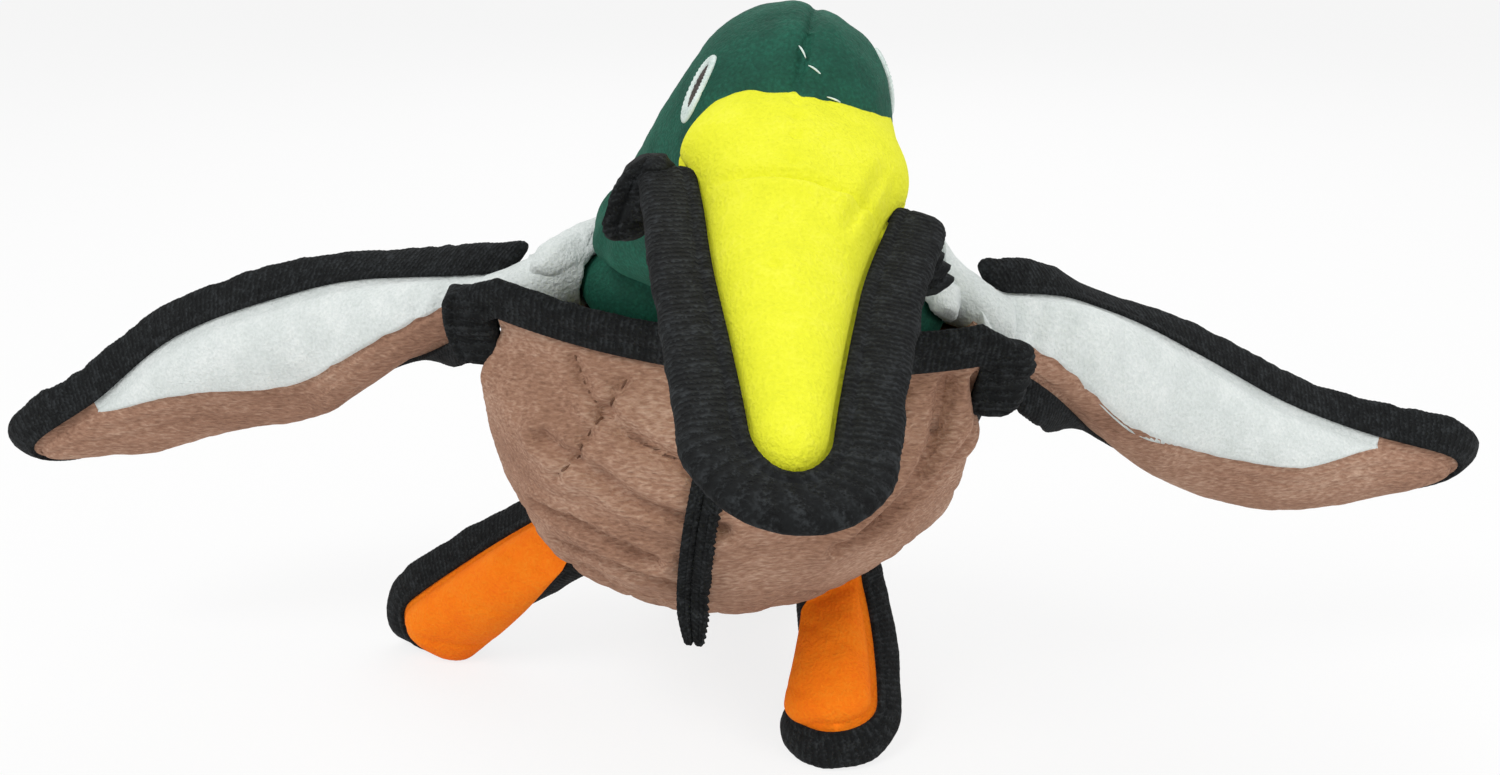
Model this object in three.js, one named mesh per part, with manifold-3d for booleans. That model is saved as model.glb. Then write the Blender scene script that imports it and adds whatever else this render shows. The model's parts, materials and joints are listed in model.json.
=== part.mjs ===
// A stuffed mallard duck, a dog toy sewn from plush panels with seams bound in black webbing tape.
// Millimetres, +Z up. The duck faces -Y and its right side is toward -X.
import * as THREE from 'three';
import { mergeVertices } from 'three/addons/utils/BufferGeometryUtils.js';
import Module from 'manifold-3d';

const wasm = await Module();
wasm.setup();

// Cloth, seams and binding
const cloth = 1.0;
const seamGap = 0.3;
const pieceGap = 0.35;
const allowance = 8;
const tapeWidth = 12;
const tapeWall = 0.9;
const tapeEase = 0.5;
const tapeStandOff = 1.2;
const tapeBevel = 1.1;
const mergeTolerance = 1e-3;

// Floor under the toy, and how deep the pieces that it stands on are pressed flat
const floorHeight = -147;
const floorPress = 0.5;

// Body: the tail direction points down and back by the pitch, and the right shoulder is higher by the roll
const bodyPitch = 47;
const bodyRoll = 6.5;
const bodyLength = 158;
const bodyWidth = 139;
const bellyDepth = 59;
const backHeight = 42;
const bellyFullness = 0.38;
const bellySkew = 15;
const bellySeamPlace = -8;
const backFullness = 0.7;
const openingSlant = 12;
const squeakerDiameter = 30;
const squeakerLength = 36;
const squeakerDepth = 62;
const squeakerDrop = 8;
const squeakerWall = 1.6;
const reedDiameter = 11;
const reedLength = 14;
const centreTapeThickness = 3.2;
const centreTapeStart = 9;
const centreTapeEnd = 46;
const centreTapeTab = 12;
const breastTapeThickness = 4.8;
const breastTapeLean = 17;
const breastCornerReach = 12;
const breastCornerDrop = 7;

// Neck ball in the opening, and the head above it
const ballRadius = 22;
const ballHalfWidth = 54;
const ballBottom = 12;
const waistLevel = 12;
const neckLean = 18;
const nodBack = 12;
const nodForward = 15;
const nodClearance = 1.2;

// White neck ring
const ringHalfWidth = 60;
const ringRise = 36;
const ringThickness = 18;
const ringHeight = 20;

// Bill
const billLength = 103.5;
const billTapeWidth = 12.8;
const billTapeStart = 5;
const billTapeSkew = 0.11;
const billBaseWidth = 46.6;
const billSlope = 19.1;
const billRoll = 9;
const billRise = 15;
const billDrop = 10;
const cheekFoldWidth = 11;
const cheekFoldDepth = 13;
const cheekFoldHeight = 17;

// Eyes
const eyeHeight = 17.6;
const eyeWidth = 9.5;
const eyeCoreHeight = 10.4;
const eyeCoreWidth = 4;
const eyeThickness = 0.8;
const eyeForward = 11;
const eyeTurn = 9;

// Wings
const rightWingWidth = 46;
const leftWingWidth = 51;
const wingTopRise = 7;
const wingLiningRise = 12;
const wingCurl = 0.5;
const rootSeat = 0.9;

// Feet
const footWidth = 23;
const footRise = 8;
const footRootSeat = 0.55;
const footRootPlace = 104;
const rightFootAngle = 32;
const leftFootAngle = 50;
const footCurl = 0.3;

// Tail
const tailLength = 31;
const tailWidth = 27;
const tailRise = 6;

const radians = THREE.MathUtils.degToRad;
const vector = (x, y, z) => new THREE.Vector3(x, y, z);
const tapeHalf = seamGap / 2 + cloth + tapeEase + tapeWall;
const slotHalf = seamGap / 2 + cloth + tapeEase;
const stuffingInset = cloth + pieceGap;

// The point reached from an origin by steps, each a direction and a distance.
function reach(origin, ...steps) {
  const place = origin.clone();
  for (const [direction, distance] of steps) {
    place.addScaledVector(direction, distance);
  }
  return place;
}

// Value at a place of the smooth curve through pairs of place and value.
function through(pairs, at) {
  const last = pairs.length - 1;
  if (at <= pairs[0][0]) return pairs[0][1];
  if (at >= pairs[last][0]) return pairs[last][1];
  let left = 0;
  while (pairs[left + 1][0] < at) left += 1;
  const slope = (index) => {
    const before = pairs[Math.max(index - 1, 0)];
    const after = pairs[Math.min(index + 1, last)];
    return (after[1] - before[1]) / (after[0] - before[0]);
  };
  const span = pairs[left + 1][0] - pairs[left][0];
  const t = (at - pairs[left][0]) / span;
  const rise = pairs[left + 1][1] - pairs[left][1];
  const startSlope = slope(left) * span;
  const endSlope = slope(left + 1) * span;
  const curved = (startSlope + endSlope - 2 * rise) * t + (3 * rise - 2 * startSlope - endSlope);
  return pairs[left][1] + (startSlope + curved * t) * t;
}

// Six times the volume that triangles enclose, negative when they face inwards.
function enclosedVolume(positions, corners) {
  const [a, b, c] = [vector(0, 0, 0), vector(0, 0, 0), vector(0, 0, 0)];
  let sum = 0;
  for (let i = 0; i < corners.length; i += 3) {
    a.fromArray(positions, 3 * corners[i]);
    b.fromArray(positions, 3 * corners[i + 1]);
    c.fromArray(positions, 3 * corners[i + 2]);
    sum += a.dot(b.cross(c));
  }
  return sum;
}

// Solid enclosed by a geometry's triangles. Triangles without area are dropped, and all are turned to face out.
function solidFromGeometry(geometry) {
  const bare = new THREE.BufferGeometry();
  bare.setAttribute('position', geometry.getAttribute('position').clone());
  if (geometry.index) bare.setIndex(geometry.index.clone());
  const merged = mergeVertices(bare, mergeTolerance);
  const positions = merged.getAttribute('position').array;
  const all = merged.index.array;
  const corners = [];
  for (let i = 0; i < all.length; i += 3) {
    const [a, b, c] = [all[i], all[i + 1], all[i + 2]];
    if (a !== b && b !== c && c !== a) corners.push(a, b, c);
  }
  if (enclosedVolume(positions, corners) < 0) corners.reverse();
  const triVerts = new Uint32Array(corners);
  return new wasm.Manifold(new wasm.Mesh({ numProp: 3, vertProperties: positions, triVerts }));
}

// Solid enclosed by triangles given as lists of three points.
function solidFromTriangles(triangles) {
  return solidFromGeometry(new THREE.BufferGeometry().setFromPoints(triangles.flat()));
}

// Solid between two sheets of points with the same rows and columns.
// closes: 'all' rims, 'rows' when the columns run round, 'fold' when the sheets meet themselves at the first column.
function solidBetween(upper, lower, closes = 'all') {
  const triangles = [];
  const quad = (a, b, c, d) => triangles.push([a, b, c], [a, c, d]);
  const lastRow = upper.length - 1;
  const lastColumn = upper[0].length - 1;
  for (let i = 0; i < lastRow; i += 1) {
    for (let j = 0; j < lastColumn; j += 1) {
      quad(upper[i][j], upper[i + 1][j], upper[i + 1][j + 1], upper[i][j + 1]);
      quad(lower[i][j], lower[i][j + 1], lower[i + 1][j + 1], lower[i + 1][j]);
    }
    if (closes !== 'rows') {
      quad(upper[i][lastColumn], upper[i + 1][lastColumn], lower[i + 1][lastColumn], lower[i][lastColumn]);
    }
    if (closes === 'all') quad(upper[i][0], lower[i][0], lower[i + 1][0], upper[i + 1][0]);
  }
  for (let j = 0; j < lastColumn; j += 1) {
    quad(upper[0][j], upper[0][j + 1], lower[0][j + 1], lower[0][j]);
    quad(upper[lastRow][j], lower[lastRow][j], lower[lastRow][j + 1], upper[lastRow][j + 1]);
  }
  return solidFromTriangles(triangles);
}

// Solid through closed rings of points. The ends are capped by the triangles given, or by a fan from the middle.
// Each side of a ring is split along one diagonal, and the turned sides along the other.
function loft(rings, capTriangles = null, turnedSides = []) {
  const triangles = [];
  const count = rings[0].length;
  for (let i = 0; i < rings.length - 1; i += 1) {
    for (let j = 0; j < count; j += 1) {
      const next = (j + 1) % count;
      const [a, b, c, d] = [rings[i][j], rings[i][next], rings[i + 1][next], rings[i + 1][j]];
      if (turnedSides.includes(j)) triangles.push([a, b, d], [b, c, d]);
      else triangles.push([a, b, c], [a, c, d]);
    }
  }
  const cap = (ring, turned) => {
    const put = (a, b, c) => triangles.push(turned ? [a, b, c] : [a, c, b]);
    if (capTriangles) {
      for (const [a, b, c] of capTriangles) put(ring[a], ring[b], ring[c]);
      return;
    }
    const middle = ring.reduce((sum, corner) => sum.add(corner), vector(0, 0, 0)).divideScalar(count);
    for (let j = 0; j < count; j += 1) put(middle, ring[j], ring[(j + 1) % count]);
  };
  cap(rings[0], false);
  cap(rings[rings.length - 1], true);
  return solidFromTriangles(triangles);
}

// Triangles over a flat section given as pairs.
function sectionTriangles(section) {
  const outline = section.map(([x, y]) => new THREE.Vector2(x, y));
  const clockwise = THREE.ShapeUtils.isClockWise(outline);
  const faces = THREE.ShapeUtils.triangulateShape(outline, []);
  return clockwise ? faces.map(([a, b, c]) => [a, c, b]) : faces;
}

// U-shaped section of the webbing: outward from the seam line, and across its thickness.
function tapeSection(start, width, half, slot, wall) {
  const end = start + width;
  return [
    [start, -half],
    [end - tapeBevel, -half],
    [end, -half + tapeBevel],
    [end, half - tapeBevel],
    [end - tapeBevel, half],
    [start, half],
    [start, slot],
    [end - wall, slot],
    [end - wall, -slot],
    [start, -slot],
  ];
}
const padAllowance = tapeStandOff + tapeWidth - tapeWall - pieceGap;
const seamTape = tapeSection(tapeStandOff, tapeWidth, tapeHalf, slotHalf, tapeWall);
const lowerSlotSide = 8;

// The part of a solid on the side of a plane that its normal points to.
function keepBeyond(solid, planePoint, normal) {
  return solid.trimByPlane(normal.toArray(), normal.dot(planePoint));
}

// The largest of a solid's separate parts
function largestPart(solid) {
  return solid.decompose().sort((a, b) => b.volume() - a.volume())[0];
}

// A pad is two panels sewn round a rounded outline. Its flat pattern has the places along and across, and up
// stands square to it. pad.place turns a point of the pattern into a point of the toy.
function seamLine(pad) {
  const straight = pad.length - pad.roundedEnd;
  const side = pad.early.map((along) => ({ along, across: pad.halfWidth(along) }));
  for (let i = 0; i <= pad.steps; i += 1) {
    const along = THREE.MathUtils.lerp(pad.tapeFrom, straight, i / pad.steps);
    side.push({ along, across: pad.halfWidth(along) });
  }
  for (let i = 1; i <= pad.endSteps; i += 1) {
    const turn = (Math.PI / 2) * (i / pad.endSteps);
    const along = straight + pad.roundedEnd * Math.sin(turn);
    side.push({ along, across: i === pad.endSteps ? 0 : pad.halfWidth(along) * Math.cos(turn) });
  }
  const back = side.slice(0, -1).reverse();
  const line = [...side, ...back.map(({ along, across }) => ({ along, across: -across }))];
  return line.map((seam, i) => {
    const before = line[Math.max(i - 1, 0)];
    const after = line[Math.min(i + 1, line.length - 1)];
    const tangent = new THREE.Vector2(after.along - before.along, after.across - before.across).normalize();
    const spine = Math.min(seam.along, straight);
    const atRoot = i === 0 || i === line.length - 1;
    if (atRoot) return { ...seam, spine, outAlong: 0, outAcross: Math.sign(seam.across) };
    return { ...seam, spine, outAlong: -tangent.y, outAcross: tangent.x };
  });
}

// A point of the allowance or the tape: straight out from the seam line, and up square to it.
function beyondSeam(pad, seam, out, up) {
  const step = 0.01;
  const base = pad.place(seam.along, seam.across, 0);
  const outer = pad.place(seam.along + step * seam.outAlong, seam.across + step * seam.outAcross, 0);
  const upward = pad.place(seam.along, seam.across, 1).sub(base);
  return reach(base, [outer.sub(base).normalize(), out], [upward, up]);
}

// The seam line without its first places at both ends
const seamFrom = (pad, first) => (first > 0 ? seamLine(pad).slice(first, -first) : seamLine(pad));

// One sheet of a pad from its spine down to the seam, and out over the allowance where there is one.
function padSheet(pad, seams, side, inset, lift, rise, flange) {
  return seams.map((seam) => {
    const row = [];
    for (let j = 0; j <= pad.ribs; j += 1) {
      const turn = (Math.PI / 2) * (j / pad.ribs);
      const spread = j === 0 ? 0 : Math.sin(turn);
      const height = j === pad.ribs ? 0 : Math.cos(turn);
      const along = seam.spine + (seam.along - inset * seam.outAlong - seam.spine) * spread;
      const across = (seam.across - inset * seam.outAcross) * spread;
      row.push(pad.place(along, across, side * (lift + rise(seam.spine) * height)));
    }
    if (flange > 0) {
      const bare = seam.along < pad.flangeFrom;
      for (const out of [tapeStandOff, flange]) row.push(beyondSeam(pad, seam, bare ? 0 : out, side * lift));
    }
    return row;
  });
}

function padPanel(pad, side) {
  const seams = seamLine(pad);
  const rise = side > 0 ? pad.upperRise : pad.lowerRise;
  const outer = padSheet(pad, seams, side, 0, seamGap / 2 + cloth, rise, padAllowance);
  const inner = padSheet(pad, seams, side, cloth, seamGap / 2, rise, padAllowance);
  return solidBetween(outer, inner, 'fold');
}

function padStuffing(pad) {
  const seams = seamFrom(pad, pad.stuffingFrom);
  const less = pieceGap - seamGap / 2;
  const sheet = (side, rise) => padSheet(pad, seams, side, stuffingInset, 0, (spine) => rise(spine) - less, 0);
  return solidBetween(sheet(1, pad.upperRise), sheet(-1, pad.lowerRise), 'fold');
}

function padSweep(pad, section) {
  const seams = seamFrom(pad, pad.early.length);
  const rings = seams.map((seam) => section.map(([out, up]) => beyondSeam(pad, seam, out, up)));
  return loft(rings, sectionTriangles(section), [lowerSlotSide]);
}

// Places a pattern along a curved spine. across is the sideways direction at a share of the length. Between the
// seams both sides curl toward the top by the angle that curlAt gives at the seam, and go on straight beyond.
function spinePlacer({ spine, across, topSign, halfWidth, curlAt }) {
  const length = spine.getLength();
  return (along, sideways, up) => {
    const share = THREE.MathUtils.clamp(along / length, 0, 1);
    const tangent = spine.getTangentAt(share);
    const centre = reach(spine.getPointAt(share), [tangent, along - share * length]);
    const sideDirection = across(share);
    const top = sideDirection.clone().cross(tangent).normalize().multiplyScalar(-topSign);
    const limit = halfWidth(along);
    const bend = Math.max(curlAt(along), 1e-6) / limit;
    const held = THREE.MathUtils.clamp(sideways, -limit, limit);
    const turn = bend * held;
    const out = Math.sin(turn) / bend + (sideways - held) * Math.cos(turn);
    const lifted = (1 - Math.cos(turn)) / bend + (sideways - held) * Math.sin(turn);
    const place = reach(centre, [sideDirection, out - up * Math.sin(turn)]);
    return place.addScaledVector(top, lifted + up * Math.cos(turn));
  };
}

// A direction that changes smoothly through directions given at shares of the length.
function turningDirection(stops) {
  const axes = ['x', 'y', 'z'];
  return (share) => {
    const parts = axes.map((axis) => through(stops.map(([at, direction]) => [at, direction[axis]]), share));
    return vector(...parts).normalize();
  };
}

// Body frame
const duckLeft = vector(1, 0, 0);
const tailward = vector(0, Math.cos(radians(bodyPitch)), -Math.sin(radians(bodyPitch)));
const levelBackward = vector(0, Math.sin(radians(bodyPitch)), Math.cos(radians(bodyPitch)));
const leftward = duckLeft.clone().applyAxisAngle(tailward, radians(bodyRoll));
const dorsal = levelBackward.clone().applyAxisAngle(tailward, radians(bodyRoll));
const shoulderCentre = vector(0, 0, 0);
const inBody = (x, s, n) => reach(shoulderCentre, [leftward, x], [tailward, s], [dorsal, n]);

// How wide, deep and high the body is, as shares of its greatest sizes at shares of its length
const widthShares = [[0, 1], [0.32, 1], [0.57, 0.89], [0.73, 0.74], [0.86, 0.57], [1, 0.38]];
const depthShares = [
  [0, 0.19], [0.09, 0.62], [0.19, 0.86], [0.38, 1], [0.57, 0.88], [0.73, 0.64], [0.86, 0.36], [0.95, 0.14], [1, 0.02],
];
const heightShares = [[0, 1], [0.38, 1], [0.57, 0.92], [0.73, 0.74], [0.86, 0.48], [0.95, 0.2], [1, 0.03]];
const rimPoint = 2;
const roundBy = 0.12;
const bodyHalfWidth = (s) => (bodyWidth / 2) * through(widthShares, s / bodyLength);
const bellyAt = (s) => bellyDepth * through(depthShares, s / bodyLength);
const backAt = (s) => backHeight * through(heightShares, s / bodyLength);

// A point of the belly, from the left seam (0) round to the right seam (180 degrees).
function bellyPoint(s, angle, inset, lift, deeper = 0) {
  const halfWidth = bodyHalfWidth(s) - inset;
  const sine = Math.sin(angle);
  const slack = 1 - THREE.MathUtils.smoothstep(s / bodyLength, 0.5, 0.9);
  const fullness = bellyFullness * slack * THREE.MathUtils.smoothstep(s / bodyLength, 0, roundBy);
  const skew = bellySkew * (bellyAt(s) / bellyDepth) * sine ** 2;
  const power = THREE.MathUtils.lerp(rimPoint, 1, THREE.MathUtils.smoothstep(s / bodyLength, 0, roundBy));
  const x = halfWidth * Math.cos(angle) * (1 + fullness * sine);
  return inBody(x - skew, s, -(lift + (bellyAt(s) + deeper) * sine ** power));
}

function backPoint(s, angle, inset, lift, higher = 0) {
  const x = (bodyHalfWidth(s) - inset) * Math.cos(angle);
  const sine = Math.sin(angle);
  const slant = openingSlant * sine * Math.max(0, 1 - (2.5 * s) / bodyLength);
  return inBody(x, s + slant, lift + (backAt(s) + higher) * sine ** backFullness);
}

// Allowance beside the side seams: it starts below the breast tape and follows the outline outward.
function sideFlangePoint(s, side, out, up) {
  const step = 1;
  const slope = (bodyHalfWidth(s + step) - bodyHalfWidth(s - step)) / (2 * step);
  const length = Math.hypot(1, slope);
  return inBody(side * (bodyHalfWidth(s) + out / length), s - (out * slope) / length, up);
}
const flangeStart = 23;
const flangeFull = 34;
const flangeWidth = (s) => allowance * THREE.MathUtils.smoothstep(s, flangeStart, flangeFull);

const bodyRows = 11;
const bodyColumns = 12;
const bodyPlaces = Array.from({ length: bodyRows + 1 }, (_, i) => bodyLength * (i / bodyRows) ** 1.15);
const halfTurn = Array.from({ length: bodyColumns + 1 }, (_, j) => (Math.PI * j) / bodyColumns);

// Direction in which the breast tape stands
const breastUp = vector(0, -Math.sin(radians(breastTapeLean)), Math.cos(radians(breastTapeLean)));

function bodySheet(pointAt, side, inset, lift) {
  return bodyPlaces.map((s) => {
    const flange = flangeWidth(s);
    const row = halfTurn.map((angle) => pointAt(s, angle, inset, lift));
    return [sideFlangePoint(s, 1, flange, side * lift), ...row, sideFlangePoint(s, -1, flange, side * lift)];
  });
}

function bellyShell() {
  const withBreastEdge = (sheet) => [sheet[0].map((corner) => reach(corner, [breastUp, allowance])), ...sheet];
  const outer = bodySheet(bellyPoint, -1, 0, seamGap / 2 + cloth);
  const inner = bodySheet(bellyPoint, -1, cloth, seamGap / 2);
  return solidBetween(withBreastEdge(outer), withBreastEdge(inner));
}

function backPanel() {
  const outer = bodySheet(backPoint, 1, 0, seamGap / 2 + cloth);
  const inner = bodySheet(backPoint, 1, cloth, seamGap / 2);
  return solidBetween(outer, inner);
}

// The filled shape of the body: in from the seam line by the inset, lifted off its plane, and deeper by the change.
function bodyForm(inset, lift, change, places) {
  const rings = places.map((s) => {
    const belly = halfTurn.map((angle) => bellyPoint(s, angle, inset, lift, change));
    const back = halfTurn.map((angle) => backPoint(s, angle, inset, lift, change)).reverse();
    return [...belly, ...back];
  });
  return loft(rings);
}

function sideSweep(side, section, places) {
  const rings = places.map((s) => section.map(([out, up]) => sideFlangePoint(s, side, out, up)));
  return loft(rings, sectionTriangles(section));
}
const sideTapeStart = 30;
const sideTape = (side) => sideSweep(side, seamTape, bodyPlaces.filter((s) => s > sideTapeStart));

// The breast tape follows the rim of the belly and ends in a block at each shoulder corner.
const breastHalf = breastTapeThickness / 2;
const breastSlot = cloth / 2 + pieceGap;
const breastSection = tapeSection(tapeStandOff, tapeWidth, breastHalf, breastSlot, breastHalf - breastSlot);

function breastSweep(section) {
  const rim = halfTurn.map((angle) => bellyPoint(0, angle, cloth / 2, (seamGap + cloth) / 2));
  const corner = (side) => inBody(side * (bodyWidth / 2 + breastCornerReach), breastCornerDrop, -2);
  const path = [corner(1), ...rim, corner(-1)];
  const rings = path.map((corner0, i) => {
    const tangent = path[Math.min(i + 1, path.length - 1)].clone().sub(path[Math.max(i - 1, 0)]).normalize();
    const outward = tangent.clone().cross(breastUp).normalize();
    return section.map(([up, out]) => reach(corner0, [breastUp, up], [outward, out]));
  });
  return loft(rings, sectionTriangles(section));
}

// The centre tape lies folded flat on the belly beside the seam, and its lower end hangs free.
function centreTape() {
  const steps = 7;
  const lift = seamGap / 2 + cloth + pieceGap + centreTapeThickness / 2;
  const middle = Math.PI / 2;
  const path = [];
  for (let i = 0; i <= steps; i += 1) {
    path.push(bellyPoint(THREE.MathUtils.lerp(centreTapeStart, centreTapeEnd, i / steps), middle, 0, lift));
  }
  const run = path[steps].clone().sub(path[steps - 1]).normalize();
  path.push(reach(path[steps], [run, centreTapeTab / 2]), reach(path[steps], [run, centreTapeTab]));
  const half = centreTapeThickness / 2;
  const edge = tapeWidth / 2;
  const section = [[-edge, -half], [edge, -half], [edge + half, 0], [edge, half], [-edge, half], [-edge - half, 0]];
  const rings = path.map((corner, i) => {
    const tangent = path[Math.min(i + 1, path.length - 1)].clone().sub(path[Math.max(i - 1, 0)]).normalize();
    const outward = tangent.clone().cross(leftward).normalize();
    const narrow = i === path.length - 1 ? 0.6 : 1;
    return section.map(([x, out]) => reach(corner, [leftward, edge / 2 + x * narrow], [outward, out]));
  });
  return loft(rings, sectionTriangles(section));
}

// Neck and head: the neck frame is centred in the opening, and its first axis is the nod axis
const nodCentre = vector(7, 16, 7.5);
const neckUp = vector(0, 0, 1).projectOnPlane(leftward).normalize();
const neckBack = neckUp.clone().cross(leftward).normalize();
const inNeck = (x, y, z) => reach(nodCentre, [leftward, x], [neckBack, y], [neckUp, z]);

// Rings of the head above the neck ball: the centre, half-width, half-depth, and the forward lean and roll
const headRings = [
  { x: -2, y: -20, z: 22.5, halfWidth: 45, halfDepth: 27, lean: 20, roll: 0 },
  { x: 0, y: -34, z: 40.5, halfWidth: 36, halfDepth: 31, lean: 27, roll: 3 },
  { x: 3.5, y: -49, z: 59, halfWidth: 29, halfDepth: 30.5, lean: 30, roll: 6 },
  { x: 7.2, y: -56, z: 73, halfWidth: 23.5, halfDepth: 25.5, lean: 30, roll: 8 },
  { x: 8.6, y: -59.5, z: 80.5, halfWidth: 16.5, halfDepth: 18, lean: 30, roll: 8 },
  { x: 9.2, y: -62, z: 84.5, halfWidth: 8.7, halfDepth: 9.5, lean: 30, roll: 8 },
  { x: 9.4, y: -63, z: 86, halfWidth: 0, halfDepth: 0, lean: 30, roll: 8 },
];

// Rings on the neck ball, from its flat bottom inside the body up to the waist in the opening
const ballLevels = [-ballBottom, -ballBottom / 2, 0, waistLevel / 2, waistLevel];
const ballRings = ballLevels.map((level) => {
  const share = Math.sqrt(1 - (level / ballRadius) ** 2);
  const lean = radians(neckLean);
  return {
    x: 0,
    y: -level * Math.sin(lean),
    z: level * Math.cos(lean),
    halfWidth: ballHalfWidth * share,
    halfDepth: ballRadius * share,
    lean: neckLean,
    roll: 0,
  };
});
const waistIndex = ballRings.length - 1;
const allRings = [...ballRings, ...headRings];
const topIndex = allRings.length - 1;
const headSeamLevel = waistIndex + 1.55;

function ringAt(level) {
  const first = level <= waistIndex ? 0 : waistIndex;
  const last = level <= waistIndex ? waistIndex : topIndex;
  const ring = {};
  for (const key of Object.keys(allRings[0])) {
    ring[key] = through(allRings.slice(first, last + 1).map((item, i) => [first + i, item[key]]), level);
  }
  return ring;
}

// A point of the head's surface at a ring level. The angle runs from the duck's left over its back to its right.
function headSkin(level, angle) {
  const ring = ringAt(level);
  const [lean, roll] = [radians(ring.lean), radians(ring.roll)];
  const centre = inNeck(ring.x, ring.y, ring.z);
  const sideways = reach(vector(0, 0, 0), [leftward, Math.cos(roll)], [neckUp, -Math.sin(roll)]);
  const backward = reach(vector(0, 0, 0), [neckBack, Math.cos(lean)], [neckUp, Math.sin(lean)]);
  return reach(centre, [sideways, ring.halfWidth * Math.cos(angle)], [backward, ring.halfDepth * Math.sin(angle)]);
}

function headPoint(level, angle, outward) {
  const place = headSkin(level, angle);
  const step = 0.01;
  if (level > topIndex - step) {
    const up = headSkin(topIndex, 0).sub(inNeck(headRings[2].x, headRings[2].y, headRings[2].z)).normalize();
    return place.addScaledVector(up, outward);
  }
  const low = Math.max(level - step, level > waistIndex ? waistIndex + 1e-6 : 0);
  const along = headSkin(level + step, angle).sub(headSkin(low, angle));
  const around = headSkin(level, angle + step).sub(headSkin(level, angle - step));
  return place.addScaledVector(around.cross(along).normalize(), outward);
}

const headColumns = 16;
function headGrid(levels, outward) {
  return levels.map((level) => {
    const row = [];
    for (let j = 0; j < headColumns; j += 1) row.push(headPoint(level, (2 * Math.PI * j) / headColumns, outward));
    return row;
  });
}
const closedRow = (row) => [...row, row[0]];

// Ring levels from one level to another, with the ball's own rings and two steps to each ring of the head
function levelsBetween(from, to) {
  const levels = [from];
  for (let level = Math.ceil(from + 0.01); level < to; level += 1) {
    if (level > waistIndex && level - 0.5 > from) levels.push(level - 0.5);
    if (level > from) levels.push(level);
  }
  if (to > waistIndex && Math.ceil(to) - 0.5 < to && Math.ceil(to) - 0.5 > from) levels.push(Math.ceil(to) - 0.5);
  levels.push(to);
  return levels;
}

function headForm(outward, from, to) {
  return loft(headGrid(levelsBetween(from, to), outward));
}

function headShell(from, to) {
  const levels = levelsBetween(from, to);
  return solidBetween(headGrid(levels, 0).map(closedRow), headGrid(levels, -cloth).map(closedRow), 'rows');
}

// Everything that the neck above the ball passes through as the head nods, with clearance.
function nodSweep() {
  const neck = headForm(nodClearance, 1, waistIndex + 2);
  const steps = 3;
  let swept = neck;
  for (let i = 0; i <= steps; i += 1) {
    const turn = THREE.MathUtils.lerp(-nodBack, nodForward, i / steps);
    swept = swept.add(turned(neck, nodCentre, leftward, turn));
  }
  return swept;
}

// The neck ball with clearance, round about the nod axis, so that it stays clear at every nod.
function ballRoom() {
  const sides = 24;
  const steps = 12;
  const radius = (ballRadius + pieceGap) / Math.cos(Math.PI / sides);
  const halfWidth = ballHalfWidth + 2 * pieceGap;
  const profile = Array.from({ length: steps + 1 }, (_, i) => {
    const turn = (Math.PI * i) / steps;
    const r = i === 0 || i === steps ? 0 : radius * Math.sin(turn);
    return new THREE.Vector2(r, -halfWidth * Math.cos(turn));
  });
  const shape = new THREE.LatheGeometry(profile, sides);
  shape.applyMatrix4(new THREE.Matrix4().makeBasis(neckBack, leftward, neckUp.clone().negate()).setPosition(nodCentre));
  return solidFromGeometry(shape);
}

function turned(solid, pivot, axis, degrees) {
  const matrix = new THREE.Matrix4().makeTranslation(pivot.x, pivot.y, pivot.z)
    .multiply(new THREE.Matrix4().makeRotationAxis(axis, radians(degrees)))
    .multiply(new THREE.Matrix4().makeTranslation(-pivot.x, -pivot.y, -pivot.z));
  return solid.transform(matrix.toArray());
}

// The white ring round the back and sides of the neck.
function neckRing() {
  const steps = 14;
  const corners = 8;
  const [from, to] = [radians(12), radians(168)];
  const rings = [];
  for (let i = 0; i <= steps; i += 1) {
    const angle = THREE.MathUtils.lerp(from, to, i / steps);
    const rise = Math.sin(angle);
    const centre = inBody(ringHalfWidth * Math.cos(angle), 10 * rise - 5, 4 + ringRise * rise);
    const outward = inBody(Math.cos(angle), 0, rise).normalize();
    const taper = i === 0 || i === steps ? 0.55 : 1;
    const ring = [];
    for (let j = 0; j < corners; j += 1) {
      const turn = (2 * Math.PI * j) / corners;
      const out = (ringThickness / 2) * taper * Math.cos(turn);
      const up = (ringHeight / 2) * taper * Math.sin(turn);
      ring.push(reach(centre, [outward, out], [tailward, -up]));
    }
    rings.push(ring);
  }
  return loft(rings);
}

// Wings. The spine runs from the shoulder seam to the tip, and across points to the leading edge.
const wingPoses = {
  right: {
    spine: [[-71, 22, 6], [-101, 36, -6], [-138, 55, -23], [-179, 64, -36], [-216, 68, -54], [-240, 69, -63]],
    across: [[0, [0.5, 0.1, 0.8]], [0.25, [0.2, -0.3, 0.9]], [0.5, [0, -0.6, 0.8]], [1, [-0.1, -0.6, 0.8]]],
    topSign: 1,
    width: rightWingWidth,
    curlFrom: 0,
  },
  left: {
    spine: [[78.5, 15, -3], [105, 28, -18], [145, 48, -45], [180, 54, -59], [216, 58, -64], [240, 58, -65]],
    across: [[0, [-0.35, 0.35, 0.85]], [0.25, [-0.1, -0.05, 0.97]], [0.5, [0, -0.42, 0.9]], [1, [0.1, -0.5, 0.85]]],
    topSign: -1,
    width: leftWingWidth,
    curlFrom: 10,
  },
};
const wingWidthShares = [[0, 0.34], [0.19, 0.62], [0.42, 1], [0.65, 0.84], [0.87, 0.42], [1, 0.3]];
const whiteShares = [[0, -0.45], [0.3, -0.4], [0.55, -0.3], [0.75, -0.05], [0.86, 0.9], [1, 1.6]];
const wingRiseShares = [[0, 0], [0.04, 0.22], [0.15, 0.75], [0.42, 1], [0.7, 0.8], [0.87, 0.5], [1, 0.25]];

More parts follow.
